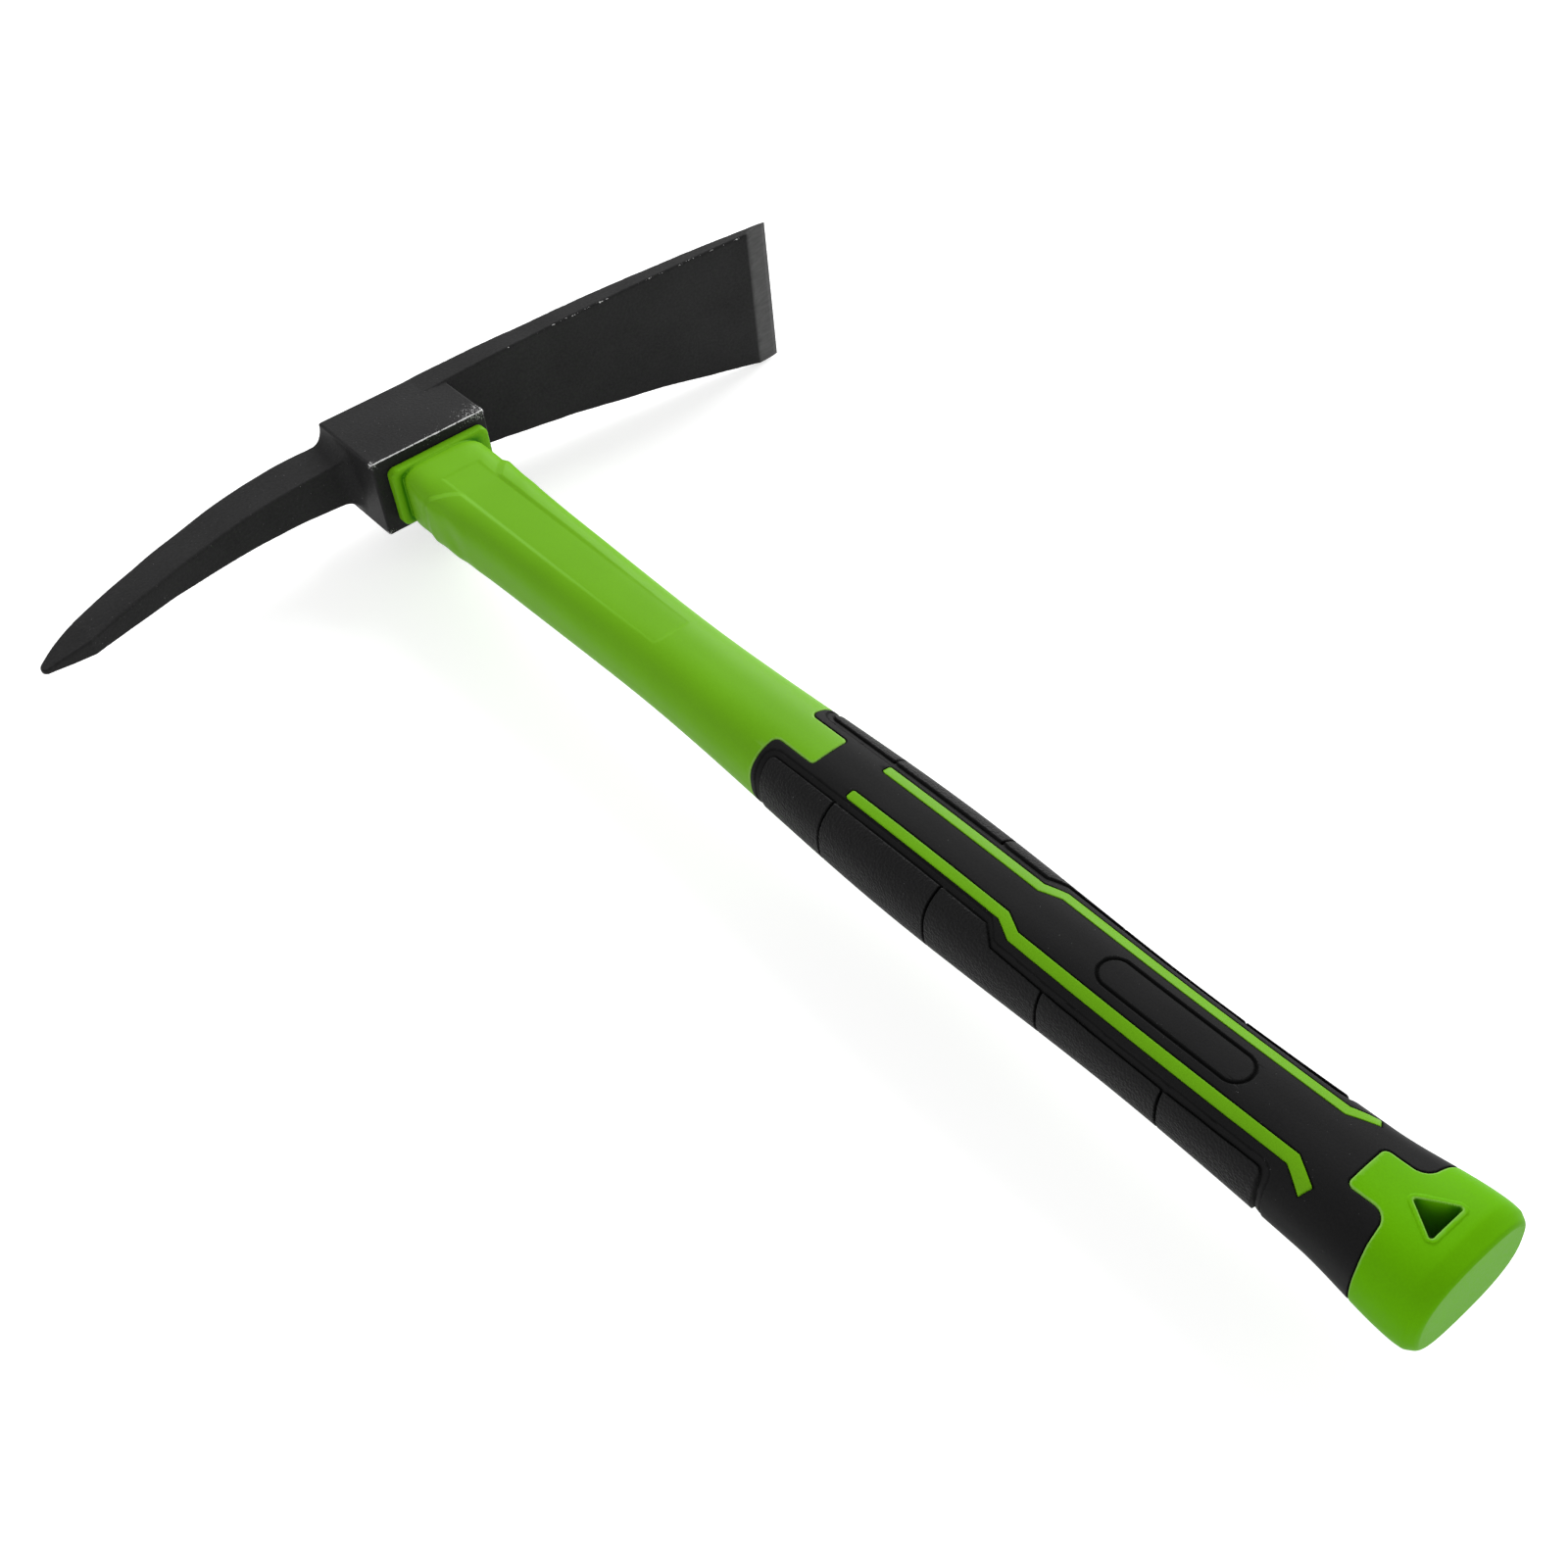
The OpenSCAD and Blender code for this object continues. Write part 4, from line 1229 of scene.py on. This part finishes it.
def edge_wear(tree, both):
    """How worn the edges are: most at the block's near edges, some on the blade."""
    x, y, z = add(tree, "ShaderNodeSeparateXYZ", {0: both}).outputs
    high = band(tree, z, CHEEK_EDGE)
    near = product(tree, high, band(tree, x, NEAR_EDGE))
    side = product(
        tree, high, band(tree, x, SIDE_FADE, 0.0, SIDE_LEVEL),
        band(tree, y, SIDE_INNER), band(tree, y, SIDE_OUTER))
    blade = product(tree, band(tree, y, BLADE_RANGE, *BLADE_LEVELS), band(tree, y, BLADE_END))
    return figure(tree, "MAXIMUM", figure(tree, "MAXIMUM", near, side), blade)


def scuffs(tree, both):
    """How scuffed the paint is: at the block's near corners and edges, and a little elsewhere."""
    y = add(tree, "ShaderNodeSeparateXYZ", {0: both}).outputs["Y"]
    total = band(tree, y, BLOCK_SIDE, 0.0, BLOCK_LEVEL)
    for point, stretch, reach, level in SCUFFS:
        away = vector(tree, "SUBTRACT", both, np.array(point) / MM)
        away = vector(tree, "MULTIPLY", away, stretch)
        distance = add(tree, "ShaderNodeVectorMath", {0: away}, operation="LENGTH")
        patch = band(tree, distance.outputs["Value"], (reach, 0), 0.0, level)
        total = figure(tree, "MAXIMUM", total, patch)
    return total


PAINT_ROUGHNESS = 0.55
STEEL_ROUGHNESS = 0.4
STEEL_METAL = 0.6
CHIP_SCALE = 420.0
GRIND_SCALE = (900.0, 140.0, 900.0)
GROUND_STEEL = (0.09, 0.09, 0.09)
GROUND_LEVELS = (0.65, 1.0)
STREAK_RANGE = (0.2, 0.8)


def painted_steel(name, finish):
    """Matte black paint with a fine tooth, worn to steel along its edges, and a ground bevel."""
    made, tree, shader, place = new_material(name, PAINT_ROUGHNESS, Specular_IOR_Level=0.1)
    paint, tooth = mottled(tree, place, finish.paint, patch=45.0, speck=1200.0, amount=0.8)
    both = head_place(tree, place)
    worn = group_node(tree, "Edge Wear", wear_group, {
        "Vector": place, "Worn": product(tree, attribute(tree, "edge"), edge_wear(tree, both)),
        "Scuffed": scuffs(tree, both), "Scale": CHIP_SCALE})["Mask"]
    base = mixed(tree, worn, paint, opaque(finish.steel))
    streaks = noise(tree, stretched(tree, place, GRIND_SCALE), scale=1.0, detail=3.0)["Fac"]
    ground = product(
        tree, attribute(tree, "ground"), ramp(tree, streaks, *STREAK_RANGE, *GROUND_LEVELS))
    feed(tree, shader.inputs["Metallic"], product(tree, worn, STEEL_METAL))
    roughness = ramp(tree, worn, 0.0, 1.0, PAINT_ROUGHNESS, STEEL_ROUGHNESS)
    feed(tree, shader.inputs["Roughness"], roughness)
    base = mixed(tree, ground, base, opaque(GROUND_STEEL))
    dress(tree, shader, base, tooth, depth=0.12, strength=0.6)
    return made


JACKET_GLOSS = 0.08
CAP_GLOSS = 0.03
GREEN_ROUGHNESS = (0.38, 0.48)
TOOTH_RANGE = (0.3, 0.7)
# Share of the painted seam highlight
SEAM_HIGHLIGHT_SHARE = 0.6


def moulded_green(name, finish, rgb, gloss):
    """Satin green plastic with a fine tooth, with painted shade in its hollows and a painted
    highlight along its seams.
    """
    made, tree, shader, place = new_material(name, roughness=0.42, Specular_IOR_Level=gloss)
    base, tooth = mottled(tree, place, rgb, patch=35.0, speck=2200.0, amount=0.16)
    # Painted shade: the green is darkened in hollows by the hollow mark
    base = mixed(tree, attribute(tree, "hollow"), base, opaque(finish.hollow_shade_green))
    # Painted highlight: paler green along the seams and round the hang hole's lip
    seam = product(tree, attribute(tree, "seam"), SEAM_HIGHLIGHT_SHARE)
    base = mixed(tree, seam, base, opaque(finish.seam_highlight_green))
    roughness = ramp(tree, tooth, *TOOTH_RANGE, *GREEN_ROUGHNESS)
    feed(tree, shader.inputs["Roughness"], roughness)
    dress(tree, shader, base, tooth, depth=0.03, strength=0.5)
    return made


RUBBER_ROUGHNESS = (0.44, 0.95)
PEBBLE_SCALE = 1450.0
PAD_SHARE = 0.6
PAD_SHEEN = 0.2
TOOTH_SHARE = 0.12
# Painted shade: near black in the grip's grooves, splits and seams
CREASE_SHADE_SHARE = 0.85
CREASE_SHADE_BLACK = (0.001, 0.001, 0.001)
DUST_GREY = (0.4, 0.4, 0.4)
DUST_LEVEL = 0.12
DUST_SCALE = 330.0


def grip_rubber(name, finish):
    """Black rubber, smooth and satin on the frame and pebbled on the pads, with painted shade in
    its grooves and seams.
    """
    made, tree, shader, place = new_material(name, roughness=0.5, Specular_IOR_Level=0.035)
    base, tooth = mottled(tree, place, finish.rubber, patch=50.0, speck=1800.0, amount=0.4)
    pad, crease = attribute(tree, "pad"), attribute(tree, "crease")
    base = mixed(tree, product(tree, pad, PAD_SHARE), base, opaque(finish.pad_rubber))
    # Painted shade: the rubber is darkened towards black in grooves and seams by the crease mark
    base = mixed(tree, product(tree, crease, CREASE_SHADE_SHARE), base, opaque(CREASE_SHADE_BLACK))
    dust = group_node(tree, "Edge Wear", wear_group, {
        "Vector": place, "Worn": 0.0, "Scuffed": DUST_LEVEL, "Scale": DUST_SCALE})["Mask"]
    dull = figure(tree, "SUBTRACT", crease, product(tree, pad, PAD_SHEEN))
    feed(tree, shader.inputs["Roughness"], ramp(tree, dull, -PAD_SHEEN, 1.0, *RUBBER_ROUGHNESS))
    pebbles = group_node(tree, "Pebble", pebble_group, {"Vector": place, "Scale": PEBBLE_SCALE})
    raised = product(tree, pebbles["Height"], pad)
    height = figure(tree, "ADD", raised, product(tree, tooth, TOOTH_SHARE))
    base = mixed(tree, dust, base, opaque(DUST_GREY))
    dress(tree, shader, base, height, depth=0.22, strength=0.8)
    return made


STRAND_SCALE = (40.0, 2500.0, 2500.0)


def glass_fibre(name, finish):
    """Pale pultruded fibre with strands along the handle."""
    made, tree, shader, place = new_material(name, roughness=0.5)
    strands = stretched(tree, place, STRAND_SCALE)
    base, height = mottled(tree, strands, finish.fibre, patch=1.0, speck=0.4, amount=0.9)
    dress(tree, shader, base, height, depth=0.1, strength=0.4)
    return made


def set_resin(name, finish):
    """Dull amber epoxy with a few cloudy patches."""
    made, tree, shader, place = new_material(name, roughness=0.3)
    base, height = mottled(tree, place, finish.resin, patch=300.0, speck=2000.0, amount=0.6)
    dress(tree, shader, base, height, depth=0.2, strength=0.4)
    return made


def shared_material(name, make, *values):
    """A material that is built once."""
    return bpy.data.materials.get(name) or make(name, *values)


def jacket_plastic(finish):
    """The green plastic of the jacket and the stripes."""
    return shared_material("moulded_green", moulded_green, finish, finish.green, JACKET_GLOSS)


# Boxes that hold each piece, and ranges along each axis where the head's mesh is finer
HEAD_MARGINS = (2, 3)
JACKET_BOX = ((-0.5, -18, -13), (350, 18, 13))
GRIP_BOX = ((168, -18, -13.5), (357, 18, 13.5))
CAP_BOX = ((342, -19, -14), (371, 19, 14))
HEAD_CLOSE = (((-1.4, 0.3),), ((18.8, 20.4),), ((-13.4, -11.8), (11.8, 13.4)))


class MATTOCK_OT_head(Operator):
    """Builds the forged head with its worn paint and ground bevel"""

    bl_idname = "mattock.head"
    bl_label = "Head"

    def execute(self, context):
        s = millimetres(context.scene.mattock_head)
        low = (-s.eye_length - HEAD_MARGINS[0], -s.pick_reach, -s.edge_width / 2)
        high = (HEAD_MARGINS[1], s.adze_reach, s.edge_width / 2)
        mesh = field_mesh(
            "mattock_head_forged", head_field(s), low, high, cell=(0.6, 0.65, 0.65), keep=0.4,
            marks=(("edge", edge_mark), ("ground", ground_mark(s))),
            trim=sharp_edge(s), close=HEAD_CLOSE)
        paint = shared_material("head_paint", painted_steel, context.scene.mattock_finish)
        show("head", ["mattock_head"], mesh, paint)
        return {"FINISHED"}


class MATTOCK_OT_core(Operator):
    """Finishes the CAD core rod and eye resin, whose shapes are right as they are"""

    bl_idname = "mattock.core"
    bl_label = "Core and resin"

    def execute(self, context):
        finish = context.scene.mattock_finish
        for node, name, make in (
                ("core_rod", "glass_fibre", glass_fibre), ("eye_resin", "set_resin", set_resin)):
            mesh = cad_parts[node].data
            mesh.materials.clear()
            mesh.materials.append(shared_material(name, make, finish))
        return {"FINISHED"}


class MATTOCK_OT_jacket(Operator):
    """Builds the green jacket with its collar, neck, panel and tongue"""

    bl_idname = "mattock.jacket"
    bl_label = "Jacket"

    def execute(self, context):
        s = millimetres(context.scene.mattock_handle)
        mesh = field_mesh(
            "handle_jacket_moulded", jacket_field(s), *JACKET_BOX, cell=(0.5, 0.42, 0.42),
            keep=0.22, marks=(("hollow", hollow_shade_mark), ("seam", seam_highlight_mark(s))))
        green = jacket_plastic(context.scene.mattock_finish)
        show("jacket", ["handle_jacket"], mesh, green)
        return {"FINISHED"}


class MATTOCK_OT_grip(Operator):
    """Builds the rubber grip with its pads, grooves and oval line"""

    bl_idname = "mattock.grip"
    bl_label = "Grip"

    def execute(self, context):
        s = millimetres(context.scene.mattock_handle)
        mesh = field_mesh(
            "grip_sleeve_moulded", grip_field(s), *GRIP_BOX, cell=(0.42, 0.3, 0.3),
            keep=0.2, marks=(("pad", pad_mark(s)), ("crease", crease_shade_mark(s))))
        rubber = shared_material("grip_rubber", grip_rubber, context.scene.mattock_finish)
        show("grip", ["grip_sleeve"], mesh, rubber)
        return {"FINISHED"}


class MATTOCK_OT_stripes(Operator):
    """Lays the four green stripes in the grip"""

    bl_idname = "mattock.stripes"
    bl_label = "Stripes"

    def execute(self, context):
        s = millimetres(context.scene.mattock_handle)
        green = jacket_plastic(context.scene.mattock_finish)
        for face_name, face in (("top", 1), ("under", -1)):
            for side_name, side in (("adze", 1), ("pick", -1)):
                name = f"{face_name}_stripe_{side_name}"
                mesh = stripe_mesh(s, name, side, face)
                show(name, [f"stripe_{face_name}_{side_name}"], mesh, green)
        return {"FINISHED"}


class MATTOCK_OT_cap(Operator):
    """Builds the end cap with its rim and hang hole"""

    bl_idname = "mattock.cap"
    bl_label = "End cap"

    def execute(self, context):
        s = millimetres(context.scene.mattock_handle)
        mesh = field_mesh(
            "end_cap_moulded", cap_field(s), *CAP_BOX, cell=(0.28, 0.28, 0.28),
            keep=0.35, marks=(("hollow", hollow_shade_mark), ("seam", seam_highlight_mark(s))))
        finish = context.scene.mattock_finish
        green = shared_material("cap_green", moulded_green, finish, finish.cap_green, CAP_GLOSS)
        show("cap", ["end_cap"], mesh, green)
        return {"FINISHED"}


# The stage, in metres and degrees
CAMERA_PLACE = (0.274318, -0.198266, 0.353612)
CAMERA_TURN = (44.554803, 4.803574, 50.40034)
CAMERA_LENS = 43.051
SENSOR_WIDTH = 36
KEY_PLACE = (-0.6, 0.95, 0.7)
KEY_AIM = (-0.05, 0, 0)
KEY_SIZE = 0.9
KEY_POWER = 20
SKY_RISE = (0.45, 0.8)
TOP_SKY = 0.35
FLOOR_HALF = 6
FLOOR_GREY = (0.8, 0.8, 0.8)
FLOOR_GLOW = 0.6


def soft_lamp(name, place, aim, size, power):
    """A large soft lamp that points at a place."""
    data = bpy.data.lights.new(name, "AREA")
    data.shape = "DISK"
    data.size = size
    data.energy = power
    lamp = bpy.data.objects.new(name, data)
    bpy.context.scene.collection.objects.link(lamp)
    lamp.location = place
    lamp.rotation_euler = (Vector(place) - Vector(aim)).to_track_quat("Z", "Y").to_euler()


def white_rays(tree):
    """One for rays from the camera, in reflections or through clear parts."""
    path = tree.nodes.new("ShaderNodeLightPath")
    seen = figure(tree, "MAXIMUM", path.outputs["Is Camera Ray"], path.outputs["Is Glossy Ray"])
    return figure(tree, "MAXIMUM", seen, path.outputs["Is Transmission Ray"])


def floor_material():
    """A pale floor that the camera sees as white with a faint shadow."""
    made, tree, shader, _ = new_material("studio_floor", roughness=0.9, Specular_IOR_Level=0.0)
    feed(tree, shader.inputs["Base Color"], opaque(FLOOR_GREY))
    glow = add(tree, "ShaderNodeEmission", {"Color": (1, 1, 1, 1), "Strength": 1.0})
    both = add(tree, "ShaderNodeAddShader", {0: shader.outputs[0], 1: glow.outputs[0]})
    seen = product(tree, white_rays(tree), FLOOR_GLOW)
    mix = add(tree, "ShaderNodeMixShader", {0: seen, 1: shader.outputs[0], 2: both.outputs[0]})
    feed(tree, tree.nodes["Material Output"].inputs["Surface"], mix.outputs[0])
    return made


class MATTOCK_OT_stage(Operator):
    """Sets up the floor, the soft light and the camera"""

    bl_idname = "mattock.stage"
    bl_label = "Stage"

    def execute(self, context):
        scene = context.scene
        finish = scene.mattock_finish
        mesh = bpy.data.meshes.new("floor")
        ends = (-FLOOR_HALF, FLOOR_HALF)
        mesh.from_pydata([(x, y, 0) for y in ends for x in ends], [], [(0, 1, 3, 2)])
        mesh.materials.append(floor_material())
        floor = bpy.data.objects.new("floor", mesh)
        scene.collection.objects.link(floor)

        world = bpy.data.worlds.new("studio")
        scene.world = world
        world.use_nodes = True
        tree = world.node_tree
        sky = tree.nodes["Background"]
        sky.inputs["Color"].default_value = (1, 1, 1, 1)
        way = tree.nodes.new("ShaderNodeTexCoord").outputs["Generated"]
        rise = add(tree, "ShaderNodeSeparateXYZ", {0: way}).outputs["Z"]
        level = ramp(tree, rise, *SKY_RISE, finish.sky_level, TOP_SKY)
        feed(tree, sky.inputs["Strength"], level)
        soft_lamp("key", KEY_PLACE, KEY_AIM, KEY_SIZE, KEY_POWER * finish.key_level)

        data = bpy.data.cameras.new("camera")
        data.lens = CAMERA_LENS
        data.sensor_width = SENSOR_WIDTH
        camera = bpy.data.objects.new("camera", data)
        scene.collection.objects.link(camera)
        turn = Euler(np.radians(CAMERA_TURN)).to_matrix().to_4x4()
        camera.matrix_world = Matrix.Translation(CAMERA_PLACE) @ turn
        scene.camera = camera
        scene.view_settings.view_transform = "Standard"
        return {"FINISHED"}


PIECE_OPERATORS = (
    MATTOCK_OT_head, MATTOCK_OT_core, MATTOCK_OT_jacket, MATTOCK_OT_grip, MATTOCK_OT_stripes,
    MATTOCK_OT_cap, MATTOCK_OT_stage)


class VIEW3D_PT_mattock(Panel):
    """Lists the mattock's pieces and its stage"""

    bl_label = "Hand mattock"
    bl_idname = "VIEW3D_PT_mattock"
    bl_space_type = "VIEW_3D"
    bl_region_type = "UI"
    bl_category = "Mattock"

    def draw(self, context):
        for operator in PIECE_OPERATORS:
            self.layout.operator(operator.bl_idname)
        for group in (
                context.scene.mattock_head, context.scene.mattock_handle,
                context.scene.mattock_finish):
            box = self.layout.box()
            for name in type(group).__annotations__:
                box.prop(group, name)


PROPERTY_GROUPS = {
    "mattock_head": MattockHeadSizes,
    "mattock_handle": MattockHandleSizes,
    "mattock_finish": MattockFinish,
}
CLASSES = (*PROPERTY_GROUPS.values(), *PIECE_OPERATORS, VIEW3D_PT_mattock)


def register():
    """Registers the classes and the scene's settings."""
    for item in CLASSES:
        bpy.utils.register_class(item)
    for name, group in PROPERTY_GROUPS.items():
        setattr(bpy.types.Scene, name, PointerProperty(type=group))


def unregister():
    """Takes the settings and the classes away again."""
    for name in PROPERTY_GROUPS:
        delattr(bpy.types.Scene, name)
    for item in reversed(CLASSES):
        bpy.utils.unregister_class(item)


def main():
    register()
    bpy.ops.mattock.head()
    bpy.ops.mattock.core()
    bpy.ops.mattock.jacket()
    bpy.ops.mattock.grip()
    bpy.ops.mattock.stripes()
    bpy.ops.mattock.cap()
    bpy.ops.mattock.stage()


if __name__ == "__main__":
    main()
